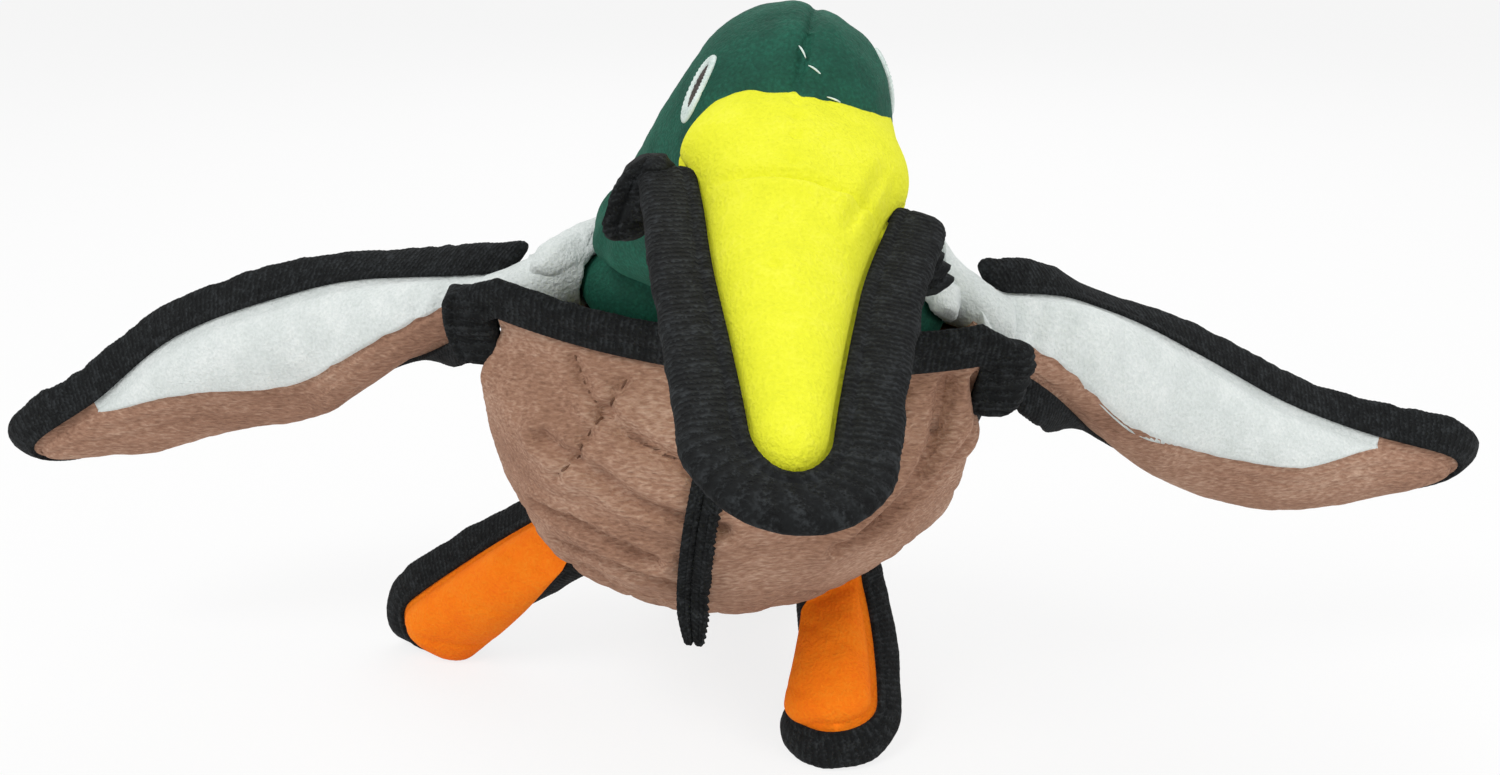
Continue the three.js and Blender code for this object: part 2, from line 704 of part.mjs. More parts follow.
function wing(side) {
  const pose = wingPoses[side];
  const spine = new THREE.CatmullRomCurve3(pose.spine.map((place) => vector(...place)));
  const length = spine.getLength();
  const across = turningDirection(pose.across.map(([share, parts]) => [share, vector(...parts)]));
  const halfWidth = (along) => (pose.width / 2) * through(wingWidthShares, along / length);
  const curlRun = 45;
  const curlAt = (along) => {
    const begun = THREE.MathUtils.smoothstep(along, pose.curlFrom, pose.curlFrom + curlRun);
    const ended = THREE.MathUtils.smoothstep(along / length, 0.7, 1);
    return wingCurl * begun * (1 - ended);
  };
  const place = spinePlacer({ spine, across, topSign: pose.topSign, halfWidth, curlAt });
  const pad = {
    length,
    roundedEnd: length * 0.13,
    steps: 9,
    endSteps: 3,
    ribs: 3,
    early: [0],
    tapeFrom: 2 * tapeStandOff,
    flangeFrom: 0,
    stuffingFrom: 2,
    halfWidth,
    upperRise: (along) => wingTopRise * through(wingRiseShares, along / length),
    lowerRise: (along) => wingLiningRise * through(wingRiseShares, along / length),
    place,
  };
  const lining = padPanel(pad, -1);
  const top = padPanel(pad, 1);
  return {
    pad,
    pivot: spine.getPointAt(0),
    axis: across(0),
    outward: place(1, 0, 0).sub(place(0, 0, 0)).projectOnPlane(across(0)).normalize(),
    top,
    whiteLining: largestPart(lining.intersect(whiteSide(pad, 0))),
    brownLining: largestPart(lining.subtract(whiteSide(pad, -seamGap))),
    tape: padSweep(pad, seamTape).subtract(lining).subtract(top),
    stuffing: padStuffing(pad),
  };
}

// The space over the white part of a wing lining, between the colour line and the leading edge.
function whiteSide(pad, shift) {
  const steps = 16;
  const beyond = 22;
  const [above, below, far] = [6, -30, 40];
  const rings = [];
  for (let i = 0; i <= steps; i += 1) {
    const along = THREE.MathUtils.lerp(-beyond, pad.length + beyond, i / steps);
    const line = pad.halfWidth(along) * through(whiteShares, along / pad.length) + shift;
    rings.push([[line, below], [line, above], [far, above], [far, below]].map(([x, up]) => pad.place(along, x, up)));
  }
  return loft(rings);
}

// Cape from the neck ring out to a wing's seam, a wedge that widens toward the body.
function capeWedge(wingParts) {
  const { pivot, axis, outward, pad } = wingParts;
  const reachAlong = pad.halfWidth(0) + tapeWidth * 0.8;
  const normal = axis.clone().cross(outward).normalize();
  const section = [[-rootSeat, -1.9], [-rootSeat, 1.9], [-13, 7], [-13, -7]];
  const rings = [-1, 0, 1].map((end) =>
    section.map(([out, up]) => reach(pivot, [axis, end * reachAlong], [outward, out], [normal, up])));
  return loft(rings);
}

// Limbs that stand on the floor: a straight or bent spine whose end is lifted until its tape presses on the floor.
function limb({ root, leave, end, across, topSign, curl, width, widthShares: shares, rise, roundedEnd, steps }) {
  const spine = new THREE.QuadraticBezierCurve3(root, leave, end);
  const length = spine.getLength();
  const riseShares = [[0, 0], [0.08, 0.35], [0.3, 0.9], [0.6, 1], [1, 0.8]];
  const halfWidth = (along) => (width / 2) * through(shares, along / length);
  const curlAt = (along) => curl * THREE.MathUtils.smoothstep(along, 0, length);
  const pad = {
    length,
    roundedEnd,
    steps,
    endSteps: 3,
    ribs: 3,
    early: [0],
    tapeFrom: 2 * tapeStandOff,
    flangeFrom: 0,
    stuffingFrom: 2,
    halfWidth,
    upperRise: (along) => rise * through(riseShares, along / length),
    lowerRise: (along) => rise * through(riseShares, along / length),
    place: spinePlacer({ spine, across, topSign, halfWidth, curlAt }),
  };
  return {
    pivot: root,
    axis: across(0),
    top: padPanel(pad, 1),
    bottom: padPanel(pad, -1),
    tape: padSweep(pad, seamTape),
    stuffing: padStuffing(pad),
  };
}

function settledOnFloor(build) {
  const rounds = 5;
  let lift = 0;
  for (let round = 0; round < rounds; round += 1) {
    lift += floorHeight - floorPress - build(lift).tape.boundingBox().min[2];
  }
  const parts = build(lift);
  parts.tape = keepBeyond(parts.tape, vector(0, 0, floorHeight), vector(0, 0, 1));
  return parts;
}

const footPoses = {
  right: { toe: [-117, 76, -137], acrossEnd: [-0.74, 0.1, 0.67], topSign: 1, angle: Math.PI - radians(rightFootAngle) },
  left: { toe: [30, 8, -130], acrossEnd: [0.97, -0.15, 0.1], topSign: -1, angle: radians(leftFootAngle) },
};

function foot(side) {
  const pose = footPoses[side];
  const sideAngle = pose.angle;
  const onBelly = (s, angle) => bellyPoint(s, angle, 0, seamGap / 2 + cloth);
  const along = onBelly(footRootPlace + 1, sideAngle).sub(onBelly(footRootPlace - 1, sideAngle));
  const around = onBelly(footRootPlace, sideAngle - 0.05).sub(onBelly(footRootPlace, sideAngle + 0.05));
  const away = along.clone().cross(around).normalize();
  const root = reach(onBelly(footRootPlace, sideAngle), [away, footRootSeat]);
  const rootAcross = around.normalize().multiplyScalar(side === 'left' ? 1 : -1);
  const leaveDistance = 9;
  return settledOnFloor((lift) => {
    const end = vector(...pose.toe).add(vector(0, 0, lift));
    return limb({
      root,
      leave: reach(root, [away, leaveDistance], [end.clone().sub(root), 0.25]),
      end,
      across: turningDirection([[0, rootAcross], [0.75, vector(...pose.acrossEnd)], [1, vector(...pose.acrossEnd)]]),
      topSign: pose.topSign,
      curl: footCurl,
      width: footWidth,
      widthShares: [[0, 0.62], [0.5, 0.85], [0.85, 1], [1, 0.92]],
      rise: footRise,
      roundedEnd: 9,
      steps: 5,
    });
  });
}

function tail() {
  const root = inBody(0, bodyLength + rootSeat, 0);
  return settledOnFloor((lift) => {
    const end = inBody(0, bodyLength + rootSeat + tailLength, 0).add(vector(0, 0, lift));
    return limb({
      root,
      leave: reach(root, [tailward, tailLength / 2]),
      end,
      across: () => leftward.clone(),
      topSign: 1,
      curl: 0,
      width: tailWidth,
      widthShares: [[0, 1], [1, 0.9]],
      rise: tailRise,
      roundedEnd: 10,
      steps: 3,
    });
  });
}

// Bill: a straight pad that slopes down from the face
function bill(headSolid) {
  const base = vector(11.3, -62, 60);
  const spineDirection = vector(-0.004, -Math.cos(radians(billSlope)), -Math.sin(radians(billSlope))).normalize();
  const sideways = vector(Math.cos(radians(billRoll)), 0, -Math.sin(radians(billRoll)))
    .projectOnPlane(spineDirection).normalize();
  const upward = sideways.clone().cross(spineDirection).normalize().negate();
  if (upward.z < 0) upward.negate();
  const behind = 24;
  const widthLine = [[-behind, 1.04], [-10, 1.06], [0, 1.02], [28, 0.77], [55, 0.565], [80, 0.39], [95, 0.3], [billLength, 0.25]];
  const riseLine = [[-behind, 1.08], [0, 1.04], [50, 0.66], [85, 0.46], [billLength, 0.36]];
  const pad = {
    length: billLength,
    roundedEnd: 9,
    steps: 7,
    endSteps: 3,
    ribs: 3,
    early: [-behind, billTapeStart - 1],
    tapeFrom: billTapeStart,
    flangeFrom: billTapeStart - 0.8,
    stuffingFrom: 0,
    halfWidth: (along) => (billBaseWidth / 2) * through(widthLine, along),
    upperRise: (along) => billRise * through(riseLine, along),
    lowerRise: (along) => billDrop * through(riseLine, along),
    place: (along, across, up) => {
      const skewed = along + billTapeSkew * across * (1 - THREE.MathUtils.smoothstep(along, 15, 70));
      return reach(base, [spineDirection, skewed], [sideways, across], [upward, up]);
    },
  };
  const tapeEnd = tapeStandOff + billTapeWidth;
  const roomy = { ...pad, early: [-behind, billTapeStart - 2], tapeFrom: billTapeStart - 0.8 };
  const roomHalf = tapeHalf + pieceGap;
  const solidSection = [[-0.5, -roomHalf], [tapeEnd + pieceGap, -roomHalf], [tapeEnd + pieceGap, roomHalf], [-0.5, roomHalf]];
  const billTape = padSweep(pad, tapeSection(tapeStandOff, billTapeWidth, tapeHalf, slotHalf, tapeWall));
  const tapeSpace = padSweep(roomy, solidSection);
  const billSpace = padSweepFilled(roomy);
  const cheekFold = (side) => {
    const beside = billBaseWidth / 2 + tapeEnd - (side > 0 ? 5 : 0);
    const centre = pad.place(billTapeStart + 6, side * beside, -roomHalf - cheekFoldHeight / 2 + 2.5);
    const ball = new THREE.SphereGeometry(0.5, 12, 8);
    ball.scale(cheekFoldWidth, cheekFoldDepth, cheekFoldHeight);
    ball.translate(centre.x, centre.y, centre.z);
    return solidFromGeometry(ball).subtract(headSolid).subtract(tapeSpace).subtract(billSpace);
  };
  return {
    top: padPanel(pad, 1).subtract(headSolid),
    bottom: padPanel(pad, -1).subtract(headSolid),
    tape: billTape.subtract(headSolid),
    stuffing: padStuffing(pad).subtract(headSolid),
    space: billSpace.add(tapeSpace),
    rightFold: cheekFold(-1),
    leftFold: cheekFold(1),
  };
}

// The filled outer shape of a pad, with clearance.
function padSweepFilled(pad) {
  const seams = seamLine(pad);
  const grow = cloth + seamGap / 2 + 2 * pieceGap;
  const sheet = (side, rise) => padSheet(pad, seams, side, -2 * pieceGap, 0, (spine) => rise(spine) + grow, 0);
  return solidBetween(sheet(1, pad.upperRise), sheet(-1, pad.lowerRise), 'fold');
}

// Eyes: a raised embroidered ring and core that follow the side of the head
function eyePatch(side, height, width, holeHeight, holeWidth) {
  const level = waistIndex + 3.85;
  const angle = radians(side > 0 ? eyeTurn - eyeForward : 180 + eyeTurn + eyeForward);
  const step = 0.01;
  const perLevel = headSkin(level + step, angle).distanceTo(headSkin(level - step, angle)) / (2 * step);
  const perAngle = headSkin(level, angle + step).distanceTo(headSkin(level, angle - step)) / (2 * step);
  const around = 14;
  const rows = holeHeight > 0 ? 1 : 2;
  const sheet = (outward) => {
    const grid = [];
    for (let i = 0; i <= rows; i += 1) {
      const share = i / rows;
      const high = THREE.MathUtils.lerp(holeHeight, height, share) / 2;
      const wide = THREE.MathUtils.lerp(holeWidth, width, share) / 2;
      const row = [];
      for (let j = 0; j < around; j += 1) {
        const turn = (2 * Math.PI * j) / around;
        const skinLevel = level + (high * Math.sin(turn)) / perLevel;
        row.push(headPoint(skinLevel, angle + (wide * Math.cos(turn)) / perAngle, outward));
      }
      grid.push(closedRow(row));
    }
    return grid;
  };
  return solidBetween(sheet(pieceGap + eyeThickness), sheet(pieceGap), 'rows').subtract(billParts.space);
}

// Squeaker in its pocket under the neck ball
function turnedAboutTailward(profile, start) {
  const shape = new THREE.LatheGeometry(profile.map(([r, y]) => new THREE.Vector2(r, y)), 12);
  const centre = inBody(0, start, -squeakerDrop);
  const matrix = new THREE.Matrix4().makeBasis(leftward, tailward, dorsal).setPosition(centre);
  shape.applyMatrix4(matrix);
  return solidFromGeometry(shape);
}

function roundedCan(diameter, length) {
  const radius = diameter / 2;
  const edge = radius * 0.3;
  return [[0, 0], [radius - edge, 0], [radius, edge], [radius, length - edge], [radius - edge, length], [0, length]];
}

const reedBore = 5;
const bladderStart = squeakerDepth - squeakerLength / 2;
const reedSeat = turnedAboutTailward(roundedCan(reedDiameter + 2 * pieceGap, reedLength + 2), bladderStart - 2);
const bladderInside = turnedAboutTailward(
  roundedCan(squeakerDiameter - 2 * squeakerWall, squeakerLength - 2 * squeakerWall), bladderStart + squeakerWall);
const squeakerBladder = turnedAboutTailward(roundedCan(squeakerDiameter, squeakerLength), bladderStart)
  .subtract(bladderInside).subtract(reedSeat);
const squeakerReed = turnedAboutTailward(roundedCan(reedDiameter, reedLength), bladderStart)
  .subtract(turnedAboutTailward(roundedCan(reedBore, reedLength + 4), bladderStart - 2));
const squeakerPocket = turnedAboutTailward(
  roundedCan(squeakerDiameter + 2 * pieceGap, squeakerLength + squeakerDepth), bladderStart - squeakerDepth)
  .subtract(keepBeyond(
    turnedAboutTailward(roundedCan(bodyWidth, bodyLength), bladderStart + squeakerLength + pieceGap),
    shoulderCentre, tailward));

// Solids of the whole toy
const headOuter = headForm(pieceGap, waistIndex, topIndex);
const ballSpace = ballRoom();
const neckSpace = nodSweep();
const rightWing = wing('right');
const leftWing = wing('left');
const rightFoot = foot('right');
const leftFoot = foot('left');
const tailParts = tail();
const billParts = bill(headOuter);
const bodySpace = bodyForm(-pieceGap, seamGap / 2 + cloth + pieceGap, 0, bodyPlaces);
const gapRound = 2 * pieceGap;
const breastSpace = breastSweep([
  [-2, -breastHalf - gapRound], [tapeWidth + 2, -breastHalf - gapRound],
  [tapeWidth + 2, breastHalf + gapRound], [-2, breastHalf + gapRound],
]);
const sideSpaces = [1, -1].map((side) => sideSweep(side, [
  [-cloth, -tapeHalf - gapRound], [tapeWidth + 2, -tapeHalf - gapRound],
  [tapeWidth + 2, tapeHalf + gapRound], [-cloth, tapeHalf + gapRound],
], bodyPlaces));

const belly = bellyShell();
const seamPlane = (x) => inBody(x, 0, 0);
const bellyLeft = keepBeyond(belly, seamPlane(bellySeamPlace + seamGap / 2), leftward);
const bellyRight = keepBeyond(belly, seamPlane(bellySeamPlace - seamGap / 2), leftward.clone().negate());
const bodyStuffing = bodyForm(seamGap / 2 + stuffingInset, 0, seamGap / 2 - pieceGap, bodyPlaces.slice(1, -1))
  .subtract(ballSpace).subtract(squeakerPocket);

let cape = neckRing().add(capeWedge(rightWing)).add(capeWedge(leftWing));
for (const space of [bodySpace, neckSpace, ballSpace, breastSpace, ...sideSpaces]) cape = cape.subtract(space);
for (const parts of [rightWing, leftWing]) {
  const edge = reach(parts.pivot, [parts.outward, -rootSeat]);
  cape = keepBeyond(cape, edge, parts.outward.clone().negate());
}
cape = largestPart(cape);

const headLevels = [headSeamLevel + 0.02, topIndex];
const headPanels = headShell(...headLevels);
const crown = headSkin(topIndex, 0);
const headMiddle = leftward.clone().applyAxisAngle(neckBack, radians(headRings[3].roll));
const headLeft = keepBeyond(headPanels, reach(crown, [headMiddle, seamGap / 2]), headMiddle);
const headRight = keepBeyond(headPanels, reach(crown, [headMiddle, -seamGap / 2]), headMiddle.clone().negate());

// Materials
function fabric(colour, roughness) {
  return new THREE.MeshStandardMaterial({ color: colour, roughness, metalness: 0 });
}
const greenPlush = fabric('#1f5a49', 0.85);
const yellowPlush = fabric('#eef03a', 0.9);
const brownPlush = fabric('#9a7462', 0.95);
const whitePlush = fabric('#dfe6e2', 0.95);
const orangePlush = fabric('#ff7a1a', 0.9);
const webbing = fabric('#202224', 0.8);
const fibre = fabric('#f2f2ee', 1);
const eyeThread = fabric('#eaf6f2', 0.6);
const darkThread = fabric('#4a4a46', 0.6);
const softPlastic = new THREE.MeshStandardMaterial({ color: '#e9e4d4', roughness: 0.5, metalness: 0 });

// Scene graph: each moving group stands at its hinge, with its local X along the hinge
const duck = new THREE.Group();

function hingeGroup(name, pivot, axis) {
  const group = new THREE.Group();
  group.name = name;
  group.position.copy(pivot);
  group.quaternion.setFromUnitVectors(vector(1, 0, 0), axis);
  duck.add(group);
  group.updateMatrixWorld(true);
  return group;
}

function addPiece(group, name, solid, material) {
  const mesh = solid.getMesh();
  const geometry = new THREE.BufferGeometry();
  geometry.setAttribute('position', new THREE.BufferAttribute(new Float32Array(mesh.vertProperties), 3));
  geometry.setIndex(new THREE.BufferAttribute(new Uint32Array(mesh.triVerts), 1));
  geometry.applyMatrix4(group.matrixWorld.clone().invert());
  const piece = new THREE.Mesh(geometry, material);
  piece.name = name;
  group.add(piece);
}

const bodyGroup = hingeGroup('body', shoulderCentre, vector(1, 0, 0));
addPiece(bodyGroup, 'belly_panel_left', bellyLeft, brownPlush);
addPiece(bodyGroup, 'belly_panel_right', bellyRight, brownPlush);
addPiece(bodyGroup, 'back_panel', backPanel(), brownPlush);
addPiece(bodyGroup, 'body_stuffing', bodyStuffing, fibre);
addPiece(bodyGroup, 'breast_tape', breastSweep(breastSection).subtract(bodySpace), webbing);
addPiece(bodyGroup, 'belly_centre_tape', centreTape().subtract(bodySpace), webbing);
addPiece(bodyGroup, 'side_tape_left', sideTape(1), webbing);
addPiece(bodyGroup, 'side_tape_right', sideTape(-1), webbing);
addPiece(bodyGroup, 'neck_ring_cape', cape, whitePlush);
addPiece(bodyGroup, 'squeaker_bladder', squeakerBladder, softPlastic);
addPiece(bodyGroup, 'squeaker_reed', squeakerReed, softPlastic);

const headGroup = hingeGroup('head', nodCentre, leftward);
addPiece(headGroup, 'neck_sleeve', headShell(0, headSeamLevel), greenPlush);
addPiece(headGroup, 'head_panel_left', headLeft, greenPlush);
addPiece(headGroup, 'head_panel_right', headRight, greenPlush);
addPiece(headGroup, 'head_stuffing', headForm(-stuffingInset, 0, topIndex), fibre);
for (const [name, side] of [['left', 1], ['right', -1]]) {
  addPiece(headGroup, `eye_ring_${name}`, eyePatch(side, eyeHeight, eyeWidth, eyeCoreHeight + 1, eyeCoreWidth + 1), eyeThread);
  addPiece(headGroup, `eye_core_${name}`, eyePatch(side, eyeCoreHeight, eyeCoreWidth, 0, 0), darkThread);
}
addPiece(headGroup, 'bill_top', billParts.top, yellowPlush);
addPiece(headGroup, 'bill_bottom', billParts.bottom, yellowPlush);
addPiece(headGroup, 'bill_tape', billParts.tape, webbing);
addPiece(headGroup, 'bill_stuffing', billParts.stuffing, fibre);
addPiece(headGroup, 'cheek_fold_left', billParts.leftFold, webbing);
addPiece(headGroup, 'cheek_fold_right', billParts.rightFold, webbing);

for (const [side, parts] of [['left', leftWing], ['right', rightWing]]) {
  const group = hingeGroup(`wing_${side}`, parts.pivot, parts.axis);
  addPiece(group, `wing_top_${side}`, parts.top, brownPlush);
  addPiece(group, `wing_lining_white_${side}`, parts.whiteLining, whitePlush);
  addPiece(group, `wing_lining_brown_${side}`, parts.brownLining, brownPlush);
  addPiece(group, `wing_tape_${side}`, parts.tape, webbing);
  addPiece(group, `wing_stuffing_${side}`, parts.stuffing, fibre);
}

for (const [side, parts] of [['left', leftFoot], ['right', rightFoot]]) {
  const group = hingeGroup(`foot_${side}`, parts.pivot, parts.axis);
  addPiece(group, `foot_top_${side}`, parts.top, orangePlush);
  addPiece(group, `foot_bottom_${side}`, parts.bottom, orangePlush);
  addPiece(group, `foot_tape_${side}`, parts.tape, webbing);
  addPiece(group, `foot_stuffing_${side}`, parts.stuffing, fibre);
}

const tailGroup = hingeGroup('tail', tailParts.pivot, tailParts.axis);
addPiece(tailGroup, 'tail_top', tailParts.top, brownPlush);
addPiece(tailGroup, 'tail_bottom', tailParts.bottom, brownPlush);
addPiece(tailGroup, 'tail_tape', tailParts.tape, webbing);
addPiece(tailGroup, 'tail_stuffing', tailParts.stuffing, fibre);

// The origin is the middle of the footprint on the floor
const size = new THREE.Box3().setFromObject(duck, true);
const middle = size.getCenter(vector(0, 0, 0));
duck.position.set(-middle.x, -middle.y, -size.min.z);

export default duck;
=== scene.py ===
"""Dresses the stuffed mallard duck toy: plush skins, webbing bindings, embroidered eyes and the studio.

Shapes are worked out in millimetres about the middle of the shoulders, and each mesh is written in
metres in the toy's own frame.
"""

import json
import logging
import math
from collections.abc import Callable, Sequence
from dataclasses import dataclass, field, fields, replace
from enum import Enum

import bmesh
import bpy
from mathutils import Matrix, Vector, noise

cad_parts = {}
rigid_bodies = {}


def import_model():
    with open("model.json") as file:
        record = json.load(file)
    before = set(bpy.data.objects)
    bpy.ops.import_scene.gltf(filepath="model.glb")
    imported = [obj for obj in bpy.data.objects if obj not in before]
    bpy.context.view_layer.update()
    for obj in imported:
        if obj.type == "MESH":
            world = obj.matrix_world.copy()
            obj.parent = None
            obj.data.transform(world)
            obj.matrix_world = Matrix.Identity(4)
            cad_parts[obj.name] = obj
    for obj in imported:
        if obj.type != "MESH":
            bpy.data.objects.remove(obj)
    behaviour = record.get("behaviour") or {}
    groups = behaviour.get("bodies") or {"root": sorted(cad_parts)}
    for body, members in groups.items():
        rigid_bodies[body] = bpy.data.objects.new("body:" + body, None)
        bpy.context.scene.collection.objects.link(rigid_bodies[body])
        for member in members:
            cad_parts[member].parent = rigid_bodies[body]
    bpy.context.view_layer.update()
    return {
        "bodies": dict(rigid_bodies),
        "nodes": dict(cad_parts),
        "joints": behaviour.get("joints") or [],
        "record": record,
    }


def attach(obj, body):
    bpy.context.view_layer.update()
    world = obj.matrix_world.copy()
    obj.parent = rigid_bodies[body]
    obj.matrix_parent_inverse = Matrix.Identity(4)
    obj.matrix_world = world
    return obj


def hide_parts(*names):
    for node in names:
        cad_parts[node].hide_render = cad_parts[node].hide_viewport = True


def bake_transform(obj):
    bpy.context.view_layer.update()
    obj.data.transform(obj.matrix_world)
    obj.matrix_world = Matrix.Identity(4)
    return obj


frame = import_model()

logging.basicConfig(level=logging.INFO, format="%(levelname)s %(message)s")
LOG = logging.getLogger("duck")

Pairs = Sequence[tuple[float, float]]
Rows = list[list[Vector]]
Heights = list[list[float]]
Frames = Sequence[tuple[Vector, Vector, Vector]]
Relief = Callable[[float, float], float]
Fullness = Callable[[int, float, float], float]
Placer = Callable[[float, float, float], Vector]

QUARTER = math.pi / 2
MM = 0.001
TINY = 1e-6
NOD_CENTRE = Vector((7, 16, 7.5))

# Cloth, seams and the bindings folded over them, in millimetres.
CLOTH = 1.0
SEAM_GAP = 0.3
SKIN_LIFT = SEAM_GAP / 2 + CLOTH
TAPE_STAND_OFF = 1.2
TAPE_WIDTH = 12.0
TAPE_ROOM = 0.5
WEBBING_THICKNESS = 0.9
TAPE_HALF = SKIN_LIFT + TAPE_ROOM + WEBBING_THICKNESS
FOLD_HINGE = 1.4

# How far out and how high the seam allowance lies inside a binding, from its edge in.
TUCKS = ((3.4, 0.1), (2.2, 0.75), (1.0, 1.05))


def through(pairs: Pairs, at: float) -> float:
    """Value of the smooth curve through pairs.

    Args:
        pairs: Places and values, in order of place.
        at: The place asked for.

    Returns:
        The value, held level before the first place and after the last.
    """
    if at <= pairs[0][0]:
        return pairs[0][1]
    if at >= pairs[-1][0]:
        return pairs[-1][1]
    left = max(i for i, (place, _) in enumerate(pairs) if place <= at)
    slopes = []
    for index in (left, left + 1):
        before, after = pairs[max(index - 1, 0)], pairs[min(index + 1, len(pairs) - 1)]
        slopes.append((after[1] - before[1]) / (after[0] - before[0]))
    span = pairs[left + 1][0] - pairs[left][0]
    t = (at - pairs[left][0]) / span
    rise = pairs[left + 1][1] - pairs[left][1]
    start, end = slopes[0] * span, slopes[1] * span
    curved = (start + end - 2 * rise) * t + (3 * rise - 2 * start - end)
    return pairs[left][1] + (start + curved * t) * t


def smoothstep(at: float, low: float, high: float) -> float:
    """Smooth change from 0 at low to 1 at high."""
    t = min(max((at - low) / (high - low), 0.0), 1.0)
    return t * t * (3 - 2 * t)


def lerp(start: float, end: float, share: float) -> float:
    """Value at a share of the way from start to end."""
    return start + (end - start) * share


def steps(start: float, end: float, count: int) -> list[float]:
    """Count + 1 even values from start to end."""
    return [lerp(start, end, i / count) for i in range(count + 1)]


def groove(distance: float, width: float) -> float:
    """1 on a line, falling smoothly to 0 at about the width from it."""
    return math.exp(-((distance / width) ** 2))


def lumps(place: Vector, scale: float) -> float:
    """Soft unevenness from -1 to 1 at a place in millimetres, with lumps of about the scale."""
    return noise.noise(place / scale)


def rumple(place: Vector, *waves: tuple[float, float]) -> float:
    """Lumps of several sizes added up, each given by its height and its scale."""
    return sum(height * lumps(place, scale) for height, scale in waves)


def folded(out: float, up: float, turn: float) -> tuple[float, float]:
    """A place in a binding's section after the binding is turned about its hinge at the seam.

    Args:
        out: Distance out from the seam line.
        up: Distance up from it.
        turn: How far the binding is turned, in radians.

    Returns:
        The new distances out and up.
    """
    sine, cosine = math.sin(turn), math.cos(turn)
    return out * cosine - up * sine + FOLD_HINGE * sine, up * cosine + out * sine


def circle(count: int) -> list[float]:
    """Even turns round a full circle, without the last that meets the first."""
    return steps(0, 2 * math.pi, count)[:-1]


class Arc:
    """A space curve measured by distance along it."""

    STRETCHES = 60

    def __init__(self, at: Callable[[float], Vector], samples: int = 240) -> None:
        """Samples a curve.

        Args:
            at: Point of the curve at a parameter from 0 to 1.
            samples: How many chords measure the curve.
        """
        self.points = [at(i / samples) for i in range(samples + 1)]
        self.distances = [0.0]
        for a, b in zip(self.points, self.points[1:]):
            self.distances.append(self.distances[-1] + (b - a).length)
        self.length = self.distances[-1]

    @classmethod
    def joining(cls, points: Sequence[Vector]) -> "Arc":
        """The line straight from point to point."""
        last = len(points) - 1
        return cls(lambda share: points[round(share * last)], last)

    def every(self, spacing: float) -> list[float]:
        """Distances along the curve about a spacing apart."""
        return steps(0.0, self.length, int(self.length / spacing))

    def point(self, distance: float) -> Vector:
        """Point at a distance along the curve, carried on straight beyond its ends.

        Args:
            distance: How far along it is.

        Returns:
            The point.
        """
        last = len(self.points) - 2
        low, high = 0, last
        while low < high:
            middle = (low + high + 1) // 2
            if self.distances[middle] <= distance:
                low = middle
            else:
                high = middle - 1
        a, b = self.points[low], self.points[low + 1]
        span = self.distances[low + 1] - self.distances[low]
        return a + (b - a) * ((distance - self.distances[low]) / span)

    def tangent(self, distance: float) -> Vector:
        """Direction of the curve at a distance along it.

        Args:
            distance: How far along it is.

        Returns:
            A unit vector, averaged over a short stretch.
        """
        reach = self.length / self.STRETCHES
        low = min(max(distance, 0.0), self.length)
        a, b = max(low - reach, 0.0), min(low + reach, self.length)
        return (self.point(b) - self.point(a)).normalized()


def smooth_curve(places: Sequence[Vector]) -> Callable[[float], Vector]:
    """Smooth curve through places, eased by the spacing between them.

    Args:
        places: Two places or more.

    Returns:
        The point of the curve at a share from 0 to 1.
    """
    ends = [places[0] * 2 - places[1], *places, places[-1] * 2 - places[-2]]

    def at(share: float) -> Vector:
        """The point at a share of the curve.

        Args:
            share: From 0 at the first place to 1 at the last.

        Returns:
            The point.
        """
        scaled = share * (len(places) - 1)
        index = min(int(scaled), len(places) - 2)
        p0, p1, p2, p3 = ends[index : index + 4]
        d0, d1, d2 = ((b - a).length ** 0.5 for a, b in ((p0, p1), (p1, p2), (p2, p3)))
        t1 = ((p1 - p0) / d0 - (p2 - p0) / (d0 + d1) + (p2 - p1) / d1) * d1
        t2 = ((p2 - p1) / d1 - (p3 - p1) / (d1 + d2) + (p3 - p2) / d2) * d1
        t = scaled - index
        square, cube = -3 * p1 + 3 * p2 - 2 * t1 - t2, 2 * p1 - 2 * p2 + t1 + t2
        return p1 + (t1 + (square + cube * t) * t) * t

    return at


class Weave(Enum):
    """Kinds of cloth surface."""

    PLUSH = "plush"
    VELOUR = "velour"
    FLEECE = "fleece"
    WEBBING = "webbing"
    THREAD = "thread"
    SMOOTH = "smooth"


@dataclass(frozen=True)
class Finish:
    """Colour and feel of one material."""

    name: str
    slot: str
    weave: Weave
    base: tuple[float, float, float]
    dark: tuple[float, float, float]
    light: tuple[float, float, float]
    roughness: float = 0.9
    sheen: float = 0.4
    sheen_roughness: float = 0.45
    specular: float = 0.25
    bump: float = 0.8
    grain_share: float = 0.55
    patch: float = 0.03
    grain: float = 0.0016
    depth: float = 0.0006
    spread: float = 0.21
    stretch: tuple[float, float, float] = (1.0, 1.0, 1.0)


def rgb(code: str) -> tuple[float, float, float]:
    """Linear colour from a six-digit code."""
    parts = (int(code[i : i + 2], 16) / 255 for i in (0, 2, 4))
    return tuple(((c + 0.055) / 1.055) ** 2.4 if c > 0.04045 else c / 12.92 for c in parts)


